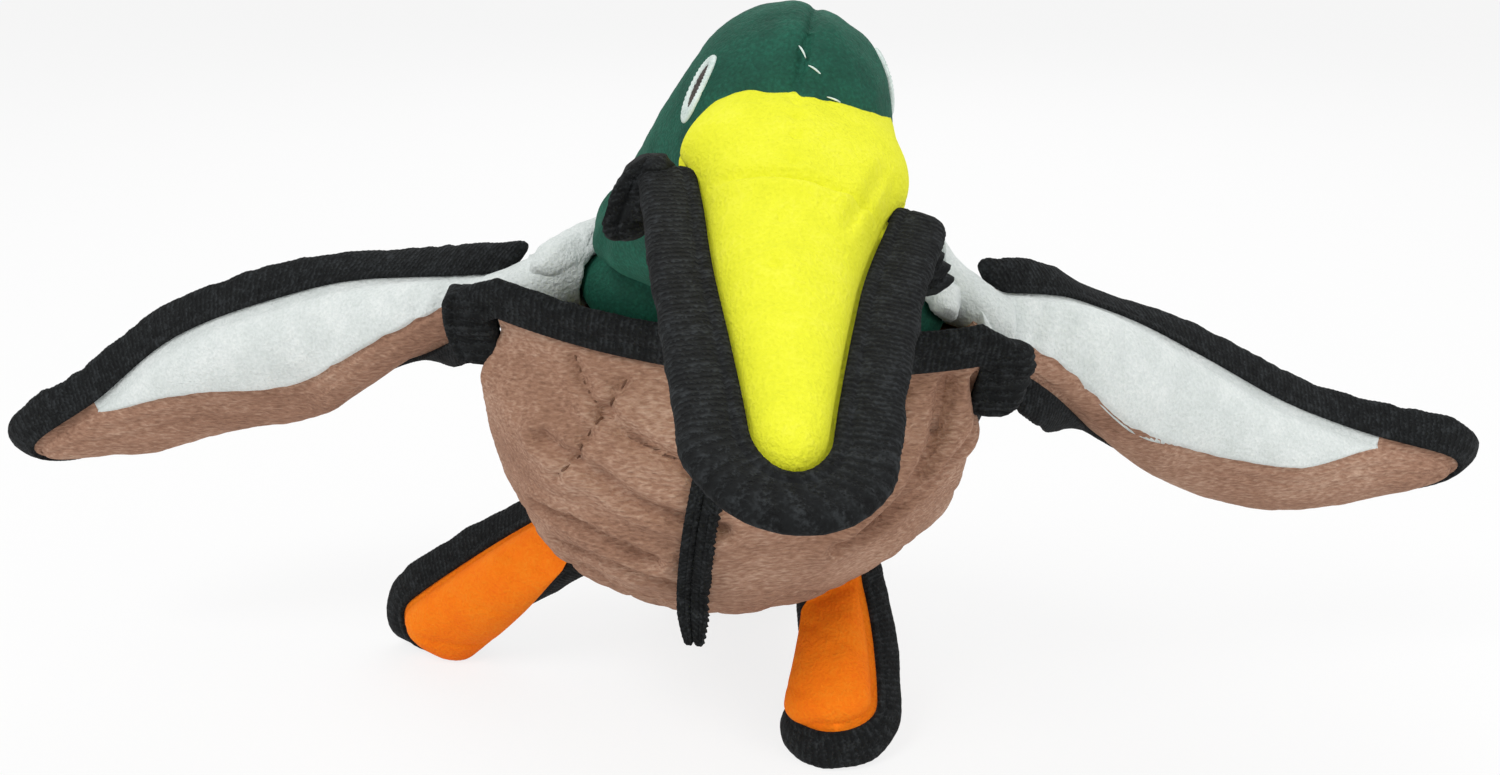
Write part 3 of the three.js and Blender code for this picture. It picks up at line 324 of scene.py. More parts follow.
BROWN = Finish("brown_plush", "brown_plush", Weave.PLUSH,
               rgb("a57e68"), rgb("7a5745"), rgb("cfae98"), sheen=0.16, patch=0.026,
               grain=0.0010, depth=0.0015, spread=0.21, stretch=(0.42, 1.0, 1.2))
WHITE = Finish("white_plush", "white_plush", Weave.PLUSH, rgb("dde3e1"), rgb("cdd4d1"), rgb("eef2f0"),
               sheen=0.1, patch=0.012, grain=0.0010, depth=0.0008)
GREEN = Finish("green_velour", "green_plush", Weave.VELOUR, rgb("164e3e"), rgb("0f3d30"), rgb("1f6450"),
               roughness=0.75, sheen=0.35, patch=0.010, grain=0.0009, depth=0.0005)
YELLOW = Finish("yellow_fleece", "yellow_plush", Weave.FLEECE, rgb("eeef32"), rgb("e6e830"), rgb("f3f344"),
                sheen=0.05, patch=0.009, grain=0.0010, depth=0.0008)
ORANGE = Finish("orange_fleece", "orange_plush", Weave.FLEECE, rgb("ff800a"), rgb("fb7208"), rgb("ff8f1c"),
                sheen=0.0, patch=0.009, grain=0.0010, depth=0.0008)
WEBBING = Finish("webbing", "webbing", Weave.WEBBING, rgb("17191a"), rgb("0b0c0d"), rgb("303335"),
                 roughness=0.95, sheen=0.1, patch=0.0035, grain=0.0008, depth=0.0009, spread=0.17)
EYE_THREAD = Finish("eye_thread", "eye_thread", Weave.THREAD, rgb("dbe8e3"), rgb("b9cdc6"), rgb("f0faf6"),
                    roughness=0.5, sheen=0.1, patch=0.002, grain=0.0004, depth=0.0001)
DARK_THREAD = Finish("dark_thread", "dark_thread", Weave.THREAD, rgb("4a4440"), rgb("2c2826"), rgb("6a625c"),
                     roughness=0.5, sheen=0.1, patch=0.002, grain=0.0004, depth=0.0001)
BROWN_THREAD = Finish("brown_thread", "brown_plush", Weave.THREAD,
                      rgb("70503e"), rgb("5a3d2e"), rgb("8a6854"), roughness=0.6,
                      sheen=0.1, patch=0.002, grain=0.0004, depth=0.0001)
SOFT_PLASTIC = Finish("soft_plastic", "soft_plastic", Weave.SMOOTH,
                      rgb("e9e4d4"), rgb("d8d2c0"), rgb("f4f0e4"), roughness=0.45,
                      sheen=0.0, patch=0.004, grain=0.0005, depth=0.00003)


class NodeTree:
    """Adds shader nodes to a material or to the sky."""

    def __init__(self, owner: "bpy.types.Material | bpy.types.World") -> None:
        """Turns on the nodes of a material or of the sky."""
        owner.use_nodes = True
        self.nodes, self.links = owner.node_tree.nodes, owner.node_tree.links

    def feed(self, socket: bpy.types.NodeSocket, value: "float | tuple | bpy.types.NodeSocket") -> None:
        """Links a socket to another one, or sets it to a plain value.

        Args:
            socket: The input.
            value: The output that feeds it, or its number or colour.
        """
        if isinstance(value, bpy.types.NodeSocket):
            self.links.new(value, socket)
        else:
            socket.default_value = value

    def add(self, kind: str, **inputs: "float | tuple | bpy.types.NodeSocket") -> bpy.types.Node:
        """Adds a node and feeds its inputs.

        Args:
            kind: The node's type, without its prefix.
            inputs: What feeds each input, by the input's name.

        Returns:
            The node.
        """
        node = self.nodes.new(f"ShaderNode{kind}")
        for name, value in inputs.items():
            self.feed(node.inputs[name], value)
        return node

    def math(self, operation: str, *values: "float | bpy.types.NodeSocket") -> bpy.types.NodeSocket:
        """Adds a sum or a wave.

        Args:
            operation: What the node works out.
            values: What feeds its inputs, in order.

        Returns:
            Its result.
        """
        node = self.nodes.new("ShaderNodeMath")
        node.operation = operation
        for socket, value in zip(node.inputs, values):
            self.feed(socket, value)
        return node.outputs[0]


class Materials:
    """Builds each finish once and hands it out."""

    RIB_FUZZ = 0.9
    RIB_HEIGHT = 0.16
    # share of the rib wave painted into the webbing's colour: a painted highlight that makes the rib crests
    # lighter
    RIB_SHADE = 0.045

    def __init__(self) -> None:
        """Starts with no materials."""
        self.made: dict[str, bpy.types.Material] = {}

    def get(self, finish: Finish) -> bpy.types.Material:
        """The material of a finish, made the first time that it is asked for.

        Args:
            finish: The finish.

        Returns:
            Its material.
        """
        if finish.name not in self.made:
            self.made[finish.name] = self._build(finish)
        return self.made[finish.name]

    def _build(self, finish: Finish) -> bpy.types.Material:
        """Makes the nodes: colour in soft patches and fine grain, a painted highlight on the webbing's rib
        crests, and a nap or weave in relief.

        Args:
            finish: The finish.

        Returns:
            A new material.
        """
        material = bpy.data.materials.new(finish.name)
        tree = NodeTree(material)
        shader = tree.nodes["Principled BSDF"]
        for name, value in (("Roughness", finish.roughness), ("Sheen Weight", finish.sheen),
                            ("Sheen Roughness", finish.sheen_roughness), ("Sheen Tint", (*finish.light, 1.0)),
                            ("Specular IOR Level", finish.specular)):
            shader.inputs[name].default_value = value
        coordinates = tree.add("TexCoord")
        stretched = tree.add("Mapping", Scale=finish.stretch, Vector=coordinates.outputs["Object"])
        vector = stretched.outputs["Vector"]
        patches, grain = (
            tree.add("TexNoise", Scale=1 / size, Detail=detail, Vector=vector).outputs["Fac"]
            for size, detail in ((finish.patch, 3.0), (finish.grain, 4.0))
        )
        patched = tree.math("MULTIPLY", patches, 1 - finish.grain_share)
        shade = tree.math("MULTIPLY_ADD", grain, finish.grain_share, patched)
        height = grain
        if finish.weave is Weave.WEBBING:
            wave = self._rib_wave(tree, grain)
            height = tree.math("MULTIPLY_ADD", wave, self.RIB_HEIGHT, grain)
            # painted highlight: the rib crests, raised by the same wave, are painted lighter
            shade = tree.math("MULTIPLY_ADD", wave, self.RIB_SHADE, shade)
        ramp = tree.add("ValToRGB", Fac=shade)
        dark, light = ramp.color_ramp.elements
        dark.position, light.position = 0.5 - finish.spread, 0.5 + finish.spread
        dark.color, light.color = (*finish.dark, 1.0), (*finish.light, 1.0)
        ramp.color_ramp.elements.new(0.5).color = (*finish.base, 1.0)
        tree.feed(shader.inputs["Base Color"], ramp.outputs["Color"])
        bump = tree.add("Bump", Strength=finish.bump, Distance=finish.depth, Height=height)
        tree.feed(shader.inputs["Normal"], bump.outputs["Normal"])
        return material

    def _rib_wave(self, tree: NodeTree, grain: bpy.types.NodeSocket) -> bpy.types.NodeSocket:
        """The wave of the webbing's ribs, counted along the tape and made fuzzy by its grain.

        Args:
            tree: Where the nodes go.
            grain: The fine grain of the cloth.

        Returns:
            The wave, from -1 to 1.
        """
        counted = tree.add("Attribute")
        counted.attribute_name = "rib"
        fuzzy = tree.math("MULTIPLY_ADD", grain, self.RIB_FUZZ, counted.outputs["Fac"])
        return tree.math("SINE", tree.math("MULTIPLY", fuzzy, 2 * math.pi))


@dataclass(frozen=True)
class Bend:
    """A stretch of cloth at a joint: the still body, the moving one and the places where the bend starts and
    ends.
    """

    still: str
    moving: str
    start: Vector
    end: Vector


class Workshop:
    """Turns points in millimetres into pieces that ride on the toy's bodies."""

    def __init__(self, packed: dict) -> None:
        """Finds where the shoulders are in the toy's frame.
        """
        joints = packed["record"]["behaviour"]["joints"]
        nod = next(joint for joint in joints if joint["child"] == "head")
        self.shift = Vector(nod["pos_m"]) - NOD_CENTRE * MM
        self.materials = Materials()

    def to_frame(self, place: Vector) -> Vector:
        """A place in metres in the toy's frame."""
        return place * MM + self.shift

    def piece(self, name: str, rows: Rows, finish: Finish, body: "str | Bend", *,
              heights: Heights | None = None, close_ends: bool = True,
              ribs: Heights | None = None) -> bpy.types.Object:
        """Makes a smooth mesh over rows of points, each of which closes on itself.

        Args:
            name: The piece's name.
            rows: Rows of points in millimetres, each as long as the others.
            finish: Its material.
            body: The body that carries it, or a bend across a joint, which leaves it on no body.
            heights: How far each point of a closed shape is raised off its surface, in millimetres.
            close_ends: Whether the first and last row are filled.
            ribs: Count of the webbing's ribs at each point.

        Returns:
            The new object.
        """
        mesh = bmesh.new()
        layer = mesh.verts.layers.float.new("rib") if ribs is not None else None
        grid = [[mesh.verts.new(self.to_frame(place)) for place in row] for row in rows]
        count = len(rows[0])
        for lower, upper in zip(grid, grid[1:]):
            for j in range(count):
                k = (j + 1) % count
                mesh.faces.new((lower[j], lower[k], upper[k], upper[j]))
        if close_ends:
            mesh.faces.new(grid[0])
            mesh.faces.new(grid[-1][::-1])
        if ribs is not None:
            for line, counts in zip(grid, ribs):
                for vertex, counted in zip(line, counts):
                    vertex[layer] = counted
        if heights is not None:
            mesh.normal_update()
            outward = MM if self._faces_out(mesh) else -MM
            moves = [(vertex, vertex.normal * (outward * up))
                     for line, ups in zip(grid, heights) for vertex, up in zip(line, ups)]
            for vertex, move in moves:
                vertex.co += move
        bmesh.ops.remove_doubles(mesh, verts=mesh.verts, dist=2e-6)
        bmesh.ops.dissolve_degenerate(mesh, dist=1e-7, edges=mesh.edges)
        bmesh.ops.recalc_face_normals(mesh, faces=mesh.faces)
        return self.finished(name, mesh, finish, body)

    def tape(self, name: str, ribbon: "Ribbon", frames: Frames, body: str,
             floor: float | None = None) -> bpy.types.Object:
        """A piece of ribbed webbing swept along frames.

        Args:
            name: The piece's name.
            ribbon: Its section and ribs.
            frames: For each ring its place on the seam, the outward direction and the upward direction.
            body: The body that carries it.
            floor: Height of the floor that it is pressed flat on, where it stands on one.

        Returns:
            The new object.
        """
        rings, counts = ribbon.sweep(frames)
        if floor is not None:
            for ring in rings:
                for place in ring:
                    place.z = max(place.z, floor)
        return self.piece(name, rings, WEBBING, body, ribs=counts)

    @staticmethod
    def _faces_out(mesh: bmesh.types.BMesh) -> bool:
        """Whether a closed mesh's faces turn away from its inside."""
        return mesh.calc_volume(signed=True) > 0

    def finished(self, name: str, mesh: bmesh.types.BMesh, finish: Finish,
                 body: "str | Bend") -> bpy.types.Object:
        """Writes a mesh to a smooth object with its finish, riding on a body, or on no body where a bend
        across a joint is given.

        Args:
            name: The piece's name.
            mesh: Its mesh, which is freed.
            finish: Its material.
            body: The body that carries it, or a bend across a joint, which leaves it on no body.

        Returns:
            The new object.
        """
        data = bpy.data.meshes.new(name)
        mesh.to_mesh(data)
        mesh.free()
        data.polygons.foreach_set("use_smooth", [True] * len(data.polygons))
        data.materials.append(self.materials.get(finish))
        piece = bpy.data.objects.new(name, data)
        bpy.context.collection.objects.link(piece)
        if isinstance(body, Bend):
            self.to_frame(body.start)
            self.to_frame(body.end)
            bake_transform(piece)
        else:
            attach(piece, body)
        LOG.info("%s: %d faces", name, len(data.polygons))
        return piece

    def remeshed(self, name: str, nodes: Sequence[str], finish: Finish, body: str, voxel: float,
                 rounds: int, fuller: float) -> bpy.types.Object:
        """A smooth skin over the joined shapes of CAD nodes.

        Args:
            name: The piece's name.
            nodes: The nodes that are copied and joined.
            finish: Its material.
            body: The body that carries it.
            voxel: Size of the remesh in metres.
            rounds: How many times the skin is smoothed.
            fuller: How far the smoothed skin is raised again, in metres.

        Returns:
            The new object.
        """
        mesh = bmesh.new()
        for node in nodes:
            mesh.from_mesh(bpy.data.objects[node].data)
        piece = self.finished(name, mesh, finish, body)
        bpy.context.view_layer.objects.active = piece
        remesh = piece.modifiers.new("remesh", "REMESH")
        remesh.mode = "VOXEL"
        remesh.voxel_size = voxel
        bpy.ops.object.modifier_apply(modifier="remesh")
        smooth = piece.modifiers.new("smooth", "SMOOTH")
        smooth.iterations = rounds
        smooth.factor = 0.5
        bpy.ops.object.modifier_apply(modifier="smooth")
        for vertex in piece.data.vertices:
            place = vertex.co / MM
            up = fuller + 0.0006 * lumps(place, 11) + 0.0003 * lumps(place, 4)
            vertex.co += vertex.normal * up
        piece.data.polygons.foreach_set("use_smooth", [True] * len(piece.data.polygons))
        return piece


@dataclass(frozen=True)
class Ribbon:
    """Ribbed webbing folded over an edge: its section and its ribs, in millimetres."""

    start: float = TAPE_STAND_OFF
    width: float = TAPE_WIDTH
    half: float = TAPE_HALF
    rib: float = 1.7
    rib_height: float = 0.12
    slant: float = 0.12
    rings_per_rib: int = 3
    stitch_place: float = 2.6
    wobble: float = 0.6
    uneven: float = 0.3
    taper: float = 4.0
    tip: float = 0.45

    @property
    def spacing(self) -> float:
        """Distance between rings."""
        return self.rib / self.rings_per_rib

    def section(self) -> list[tuple[float, float]]:
        """Outline of the binding: outward from the seam and across its thickness.

        Returns:
            Places round the outline, from the seam over the upper side and back under the lower.
        """
        end = self.start + self.width
        stitches = self.start + self.stitch_place
        upper = [
            (self.start - 0.3, 0.86), (self.start + 0.5, 0.98), (stitches - 0.9, 1.0), (stitches, 0.84),
            (stitches + 1.0, 1.02), (self.start + self.width * 0.5, 1.07), (end - 2.6, 1.0),
            (end - 0.9, 0.74), (end - 0.1, 0.36),
        ]
        scaled = [(out, share * self.half) for out, share in upper]
        return [*scaled, (end + 0.1, 0.0), *((out, -up) for out, up in reversed(scaled))]

    def sweep(self, frames: Frames) -> tuple[Rows, Heights]:
        """Rings of points along a path.

        Args:
            frames: For each ring its place on the seam, the outward direction and the upward direction.

        Returns:
            A ring of points for each frame, with ribs across the webbing, and the rib count at each point.
        """
        outline = self.section()
        rings, counts, run, previous = [], [], 0.0, frames[0][0]
        total = sum((b[0] - a[0]).length for a, b in zip(frames, frames[1:]))
        middle = self.start + self.width * 0.45
        for centre, outward, upward in frames:
            run += (centre - previous).length
            previous = centre
            wobble = self.wobble * (lumps(centre, 9.0) + 0.6 * lumps(centre, 4.0))
            ending = min(max(min(run, total - run), 0.0) / self.taper, 1.0)
            closing = lerp(self.tip, 1.0, math.sqrt(ending * (2 - ending)))
            swelling = (1 + 0.16 * self.wobble * lumps(centre, 11.0)) * closing
            shifted = run + self.rib * self.uneven * lumps(centre, 6.0)
            ring = []
            for out, up in outline:
                up *= swelling
                out = middle + (out - middle) * closing
                phase = (shifted + self.slant * out) / self.rib
                rib = self.rib_height * math.sin(2 * math.pi * phase)
                share = min(abs(up) / self.half, 1.0)
                over = math.copysign(rib * share, up) if up else 0.0
                beyond = rib * (1 - share) + wobble * smoothstep(out, self.start + 3, self.start + self.width)
                ring.append(centre + outward * (out + beyond) + upward * (up + over))
            rings.append(ring)
            counts.append([(shifted + self.slant * out) / self.rib for out, _up in outline])
        return rings, counts


def no_fullness(_side: int, _along: float, _share: float) -> float:
    """No bulge over the binding."""
    return 0.0


def no_fold(_along: float, _share: float) -> float:
    """A binding that stands straight out."""
    return 0.0


@dataclass
class Pad:
    """Two panels sewn round a rounded outline, with its pattern's places along and across."""

    length: float
    rounded_end: float
    half_width: Callable[[float], float]
    upper_rise: Callable[[float], float]
    lower_rise: Callable[[float], float]
    place: Placer
    start: float = 0.0
    tape_from: float = 2 * TAPE_STAND_OFF
    bare_to: float = -100.0
    fuller: Fullness = no_fullness
    fold: Relief = no_fold
    turn_reach: float = 1.2
    ribbon: Ribbon = field(default_factory=Ribbon)

    @property
    def straight(self) -> float:
        """Where the rounded end begins."""
        return self.length - self.rounded_end

    def rounding(self, along: float) -> float:
        """Share of the full width and crown at a place along, less than 1 in the rounded end."""
        past = min(max((along - self.straight) / self.rounded_end, 0.0), 1.0)
        return math.sqrt(max(1 - past * past, 0.0))

    def width_at(self, along: float) -> float:
        """Half-width of the seam line, rounded at the end."""
        return self.half_width(along) * self.rounding(along)

    def rows(self, per: float) -> list[float]:
        """Places along the pad, closer together round its end.

        Args:
            per: Distance between them before the rounded end.

        Returns:
            The places, from the root.
        """
        body = steps(self.start, self.straight, max(int((self.straight - self.start) / per), 6))
        rounds = [self.rounded_end * math.sin(turn) for turn in steps(0, QUARTER, 14)[1:]]
        return body + [self.straight + out for out in rounds]

    def outward(self, along: float, side: float) -> tuple[float, float]:
        """Direction square to the seam line, in the pattern.

        Args:
            along: The place along the pad.
            side: 1 for the left seam, -1 for the right.

        Returns:
            Its parts along and across.
        """
        if along > self.length - TINY:
            return (1.0, 0.0)
        step = 0.02 * self.rounded_end
        low, high = max(along - step, self.start), min(along + step, self.length)
        slope = (self.width_at(high) - self.width_at(low)) / (high - low)
        length = math.hypot(slope, 1.0)
        return (-slope / length, side / length)

    def beyond(self, along: float, across: float, direction: tuple[float, float], out: float,
               up: float) -> Vector:
        """A point in the binding, which is folded toward the upper panel.

        Args:
            along: The place along the pad.
            across: The place of the seam line across it.
            direction: The direction out of the pattern there.
            out: Distance out from the seam line.
            up: Distance up from it.

        Returns:
            The point.
        """
        base = self.place(along, across, 0.0)
        step = 0.01
        outer = self.place(along + step * direction[0], across + step * direction[1], 0.0)
        upward = self.place(along, across, 1.0) - base
        out, up = folded(out, up, self.fold(along, across / max(self.half_width(along), 1e-3)))
        return base + (outer - base).normalized() * out + upward * up

    def allowance(self, along: float, end: float, side: int) -> list[Vector]:
        """The cloth inside the binding at one end of a row.

        Args:
            along: The place along the pad.
            end: 1 for the left end of the row, -1 for the right.
            side: 1 for the upper panel, -1 for the lower.

        Returns:
            The points, from the binding's edge in.
        """
        bound = smoothstep(along, self.bare_to, self.bare_to + 3)
        across, direction = end * self.width_at(along), self.outward(along, end)
        return [self.beyond(along, across, direction, out * bound, side * up) for out, up in TUCKS]

    def panel_row(self, along: float, side: int, low: float, high: float, columns: int,
                  relief: Relief, lift: float) -> list[Vector]:
        """Points across one panel at a place along the pad.

        Args:
            along: The place along the pad.
            side: 1 for the upper panel, -1 for the lower.
            low: The turn where the row begins, from -90 to 90 degrees in radians.
            high: The turn where it ends.
            columns: How many steps the row has.
            relief: Height added to the panel, from the places along and across.
            lift: Height added everywhere.

        Returns:
            The points, with the seam allowance inside the binding where the row reaches the seam.
        """
        rise = self.upper_rise if side > 0 else self.lower_rise
        width = self.width_at(along)
        crown = rise(min(along, self.straight)) * self.rounding(along)
        row = self.allowance(along, -1.0, side) if low <= -QUARTER + TINY else []
        for turn in steps(low, high, columns):
            share = math.sin(turn)
            across = (width + self.fuller(side, along, share)) * share
            soft = relief(along, across) * max(math.cos(turn), 0.0) ** 0.5
            height = SKIN_LIFT + lift + crown * math.cos(turn) + soft
            row.append(self.place(along, across, side * height))
        if high >= QUARTER - TINY:
            row += reversed(self.allowance(along, 1.0, side))
        return row

    def skin(self, columns: int, upper: Relief, lower: Relief, per: float) -> Rows:
        """Both panels as closed rows round the pad.

        Args:
            columns: How many steps each panel has across.
            upper: Height added to the upper panel.
            lower: Height added to the lower one.
            per: Distance between rows.

        Returns:
            The rows, from the root.
        """
        return [
            self.panel_row(along, 1, -QUARTER, QUARTER, columns, upper, 0.0)
            + self.panel_row(along, -1, -QUARTER, QUARTER, columns, lower, 0.0)[::-1]
            for along in self.rows(per)
        ]

    def tape_frames(self) -> Frames:
        """Frames of the binding round the seam line.

        Returns:
            For each ring its place on the seam, the outward direction and the upward direction.
        """
        half = [(along, self.width_at(along)) for along in self.rows(0.8) if along >= self.tape_from]
        outline = [Vector((along, width, 0)) for along, width in half]
        outline += [Vector((along, -width, 0)) for along, width in reversed(half[:-1])]
        arc = Arc.joining(outline)
        frames = []
        for distance in arc.every(self.ribbon.spacing):
            place, low, high = (arc.point(min(max(distance + off, 0.0), arc.length))
                                for off in (0.0, -self.turn_reach, self.turn_reach))
            tangent = (high - low).normalized()
            direction = (-tangent.y, tangent.x)
            if direction[1] * place.y < 0:
                direction = (tangent.y, -tangent.x)
            centre, outer, upper = (self.beyond(place.x, place.y, direction, out, up)
                                    for out, up in ((0.0, 0.0), (1.0, 0.0), (0.0, 1.0)))
            frames.append((centre, outer - centre, upper - centre))
        return frames


def spine_placer(spine: Arc, across: Callable[[float], Vector], top_sign: float,
                 half_width: Callable[[float], float], curl_at: Callable[[float], float]) -> Placer:
    """Places a pattern along a curved spine whose sides curl toward the top up to the seams.

    Args:
        spine: The middle line of the pattern.
        across: Direction to the pattern's left at a share of its length.
        top_sign: Which side is the top, 1 or -1.
        half_width: Half-width of the seam line at a place along.
        curl_at: How far the sides are turned up at a place along, in radians.

    Returns:
        What gives the point at places along, across and up.
    """

    def place(along: float, sideways: float, up: float) -> Vector:
        """A point of the pattern.

        Args:
            along: The place along the spine.
            sideways: The place across it.
            up: The height over the seam.

        Returns:
            The point.
        """
        distance = min(max(along, 0.0), spine.length)
        tangent = spine.tangent(distance)
        centre = spine.point(distance) + tangent * (along - distance)
        side = across(distance / spine.length)
        top = side.cross(tangent).normalized() * -top_sign
        limit = half_width(along)
        bend = max(curl_at(along), TINY) / limit
        held = min(max(sideways, -limit), limit)
        turn = bend * held
        out = math.sin(turn) / bend + (sideways - held) * math.cos(turn)
        lifted = (1 - math.cos(turn)) / bend + (sideways - held) * math.sin(turn)
        return centre + side * (out - up * math.sin(turn)) + top * (lifted + up * math.cos(turn))

    return place


def turning(stops: Sequence[tuple[float, tuple[float, float, float]]]) -> Callable[[float], Vector]:
    """A direction that changes smoothly through given ones.

    Args:
        stops: Shares of the length and the directions there.

    Returns:
        What gives the direction at a share.
    """
    units = [(share, Vector(parts)) for share, parts in stops]

    def at(share: float) -> Vector:
        """The direction at a share of the length."""
        parts = [through([(place, unit[axis]) for place, unit in units], share) for axis in range(3)]
        return Vector(parts).normalized()

    return at


@dataclass(frozen=True)
class Crease:
    """A soft fold in the cloth: its width, its depth and its places along and round the belly."""

    width: float
    depth: float
    marks: tuple[tuple[float, float], ...]


CREASES = (
    Crease(1.2, 1.3, ((2.0, 2.27), (5.0, 2.2), (7.0, 2.12), (8.5, 2.03))),
    Crease(1.2, 1.2, ((3.0, 1.98), (8.5, 2.03), (13.0, 2.08), (18.0, 2.11), (23.0, 2.18))),
    Crease(2.2, 2.2, ((8.5, 2.03), (10.0, 1.93), (11.5, 1.81), (12.5, 1.72), (14.0, 1.6))),
    Crease(2.6, 2.6, ((17.0, 2.3), (18.0, 2.1), (20.0, 1.93), (23.0, 1.81), (25.0, 1.61), (27.0, 1.45))),
    Crease(2.8, 2.4, ((42.0, 2.32), (38.0, 2.05), (39.0, 1.85), (41.0, 1.72))),
    Crease(2.4, 2.0, ((54.0, 2.2), (50.0, 2.0), (50.0, 1.8), (52.0, 1.62))),
    Crease(2.6, 2.8, ((4.0, 0.14), (12.0, 0.19), (19.0, 0.25), (27.0, 0.5), (33.0, 0.73), (40.0, 0.95))),
    Crease(2.4, 2.4, ((2.0, 0.50), (15.0, 0.55), (26.0, 0.67), (36.0, 0.85))),
    Crease(2.0, 1.8, ((3.0, 0.78), (14.0, 0.86), (24.0, 0.98))),
)
STITCHED = CREASES[:2]


def off_line(place: Vector, line: Sequence[Vector]) -> float:
    """Distance from a place to a line through points.

    Args:
        place: The place.
        line: The points of the line, in order.

    Returns:
        The shortest distance.
    """
    best = math.inf
    for a, b in zip(line, line[1:]):
        run = b - a
        share = min(max((place - a).dot(run) / run.length_squared, 0.0), 1.0)
        best = min(best, (place - a - run * share).length)
    return best


@dataclass
class Body:
    """The stuffed body: one brown skin over belly and back, its bindings, the white cape and the squeaker.

    Places on it are given by s, the distance from the neck opening toward the tail, and by a turn round it
    from the left seam. Pitch, roll, lean and fold are in degrees. Each line of shares gives a share of the
    width, depth or height by the share of the length.
    """

    shop: Workshop
    pitch: float = 47.0
    roll: float = 6.5
    length: float = 158.0
    width: float = 139.0
    belly_depth: float = 57.0
    back_height: float = 42.0
    fullness: tuple[float, float] = (-0.268, 0.187)
    skew: float = 8.75
    bulge: float = 8.5
    lean_right: float = 4.84
    flank: float = 5.5
    slack_end: float = 0.91
    slant: float = 12.0
    back_fullness: float = 0.7
    round_by: float = 0.12
    quilt: float = 41.0
    breast_lean: float = 17.0
    seam_place: float = -8.0
    tape_fold: float = 62.0
    side_tape_from: float = 33.0
    socket_radius: float = 23.2
    socket_half_width: float = 55.5
    low_room: float = 52.0
    high_room: float = 44.0
    fold_spacing: float = 0.6
    side_spacing: float = 0.44
    centre_spacing: float = 0.5
    columns: int = 150
    stations: int = 140
    sags: tuple[tuple[float, float, float], ...] = ((66, 2.0, 8), (79, 1.8, 10), (95, 1.6, 6))
    width_shares: Pairs = ((0, 1), (0.32, 1), (0.57, 0.89), (0.73, 0.74), (0.86, 0.57), (1, 0.38))
    depth_shares: Pairs = ((0, 0.19), (0.09, 0.62), (0.19, 0.86), (0.38, 1), (0.57, 0.88), (0.73, 0.64),
                           (0.86, 0.36), (0.95, 0.14), (1, 0.02))
    height_shares: Pairs = ((0, 1), (0.38, 1), (0.57, 0.92), (0.73, 0.74), (0.86, 0.48), (0.95, 0.2),
                            (1, 0.03))
    right_collar: tuple[tuple[float, ...], ...] = ((-40, 24, 17, 9, 12.5), (-46, 22, 16, 9.5, 12.5),
                                                   (-52, 20, 13, 10, 11.5), (-62, 18, 8.5, 10, 10),
                                                   (-74, 21, 5, 9, 8))
    left_collar: tuple[tuple[float, ...], ...] = ((50, 24, 13, 9, 14), (57.6, 20, 13.5, 10, 14.5),
                                                  (64.5, 17, 9, 10, 10.5), (72, 15, 4.5, 9, 8.5),
                                                  (80, 16, 0, 8, 7))

    def __post_init__(self) -> None:
        """Works out the body's own directions."""
        pitch = math.radians(self.pitch)
        self.tailward = Vector((0, math.cos(pitch), -math.sin(pitch)))
        turn = Matrix.Rotation(math.radians(self.roll), 3, self.tailward)
        self.leftward = turn @ Vector((1, 0, 0))
        self.dorsal = turn @ Vector((0, math.sin(pitch), math.cos(pitch)))
        lean = math.radians(self.breast_lean)
        self.breast_up = Vector((0, -math.sin(lean), math.cos(lean)))
        self.crease_lines = []
        for crease in CREASES:
            path = smooth_curve([self.belly(s, angle) for s, angle in crease.marks])
            self.crease_lines.append((crease, [path(share) for share in steps(0, 1, 12)]))

    def at(self, x: float, s: float, n: float) -> Vector:
        """A place to the left, toward the tail and up from the back, from the shoulders."""
        return self.leftward * x + self.tailward * s + self.dorsal * n

    def half_width(self, s: float) -> float:
        """Half-width of the side seams."""
        return self.width / 2 * through(self.width_shares, s / self.length)

    def belly(self, s: float, angle: float, inset: float = 0.0, lift: float = SKIN_LIFT) -> Vector:
        """A point of the belly, from the left seam (0) round to the right seam (half a turn).

        Args:
            s: Distance along the body.
            angle: The turn round it, in radians.
            inset: How far inside the skin the point is.
            lift: Height over the seam.

        Returns:
            The point.
        """
        sine = math.sin(angle)
        share = s / self.length
        rounding = smoothstep(share, 0, self.round_by)
        slack = (1 - smoothstep(share, 0.5, self.slack_end)) * rounding
        full = (self.fullness[0] * sine + self.fullness[1] * sine**2) * slack
        depth = self.belly_depth * through(self.depth_shares, share)
        half = self.half_width(s) - inset + self.bulge * smoothstep(sine, 0, 0.32) * slack
        flank = smoothstep(math.cos(angle), 0.25, 0.9) * smoothstep(sine, 0, 0.3) * rounding
        half += self.flank * flank * (1 - smoothstep(share, 0.38, 0.6))
        x = half * math.cos(angle) * (1 + full)
        skewed = self.skew * depth / self.belly_depth * sine**2
        skewed += self.lean_right * slack * abs(math.cos(angle)) * smoothstep(sine, 0, 0.32)
        return self.at(x - skewed, s, -(lift + (depth - inset) * max(sine, 0.0) ** lerp(2, 1, rounding)))

    def back(self, s: float, angle: float, inset: float = 0.0, lift: float = SKIN_LIFT) -> Vector:
        """A point of the back, from the left seam round to the right seam.

        Args:
            s: Distance along the body.
            angle: The turn round it, in radians.
            inset: How far inside the skin the point is.
            lift: Height over the seam.

        Returns:
            The point.
        """
        sine = max(math.sin(angle), 0.0)
        slant = self.slant * sine * max(0.0, 1 - 2.5 * s / self.length)
        height = self.back_height * through(self.height_shares, s / self.length)
        x = (self.half_width(s) - inset) * math.cos(angle)
        return self.at(x, s + slant, lift + (height - inset) * sine**self.back_fullness)

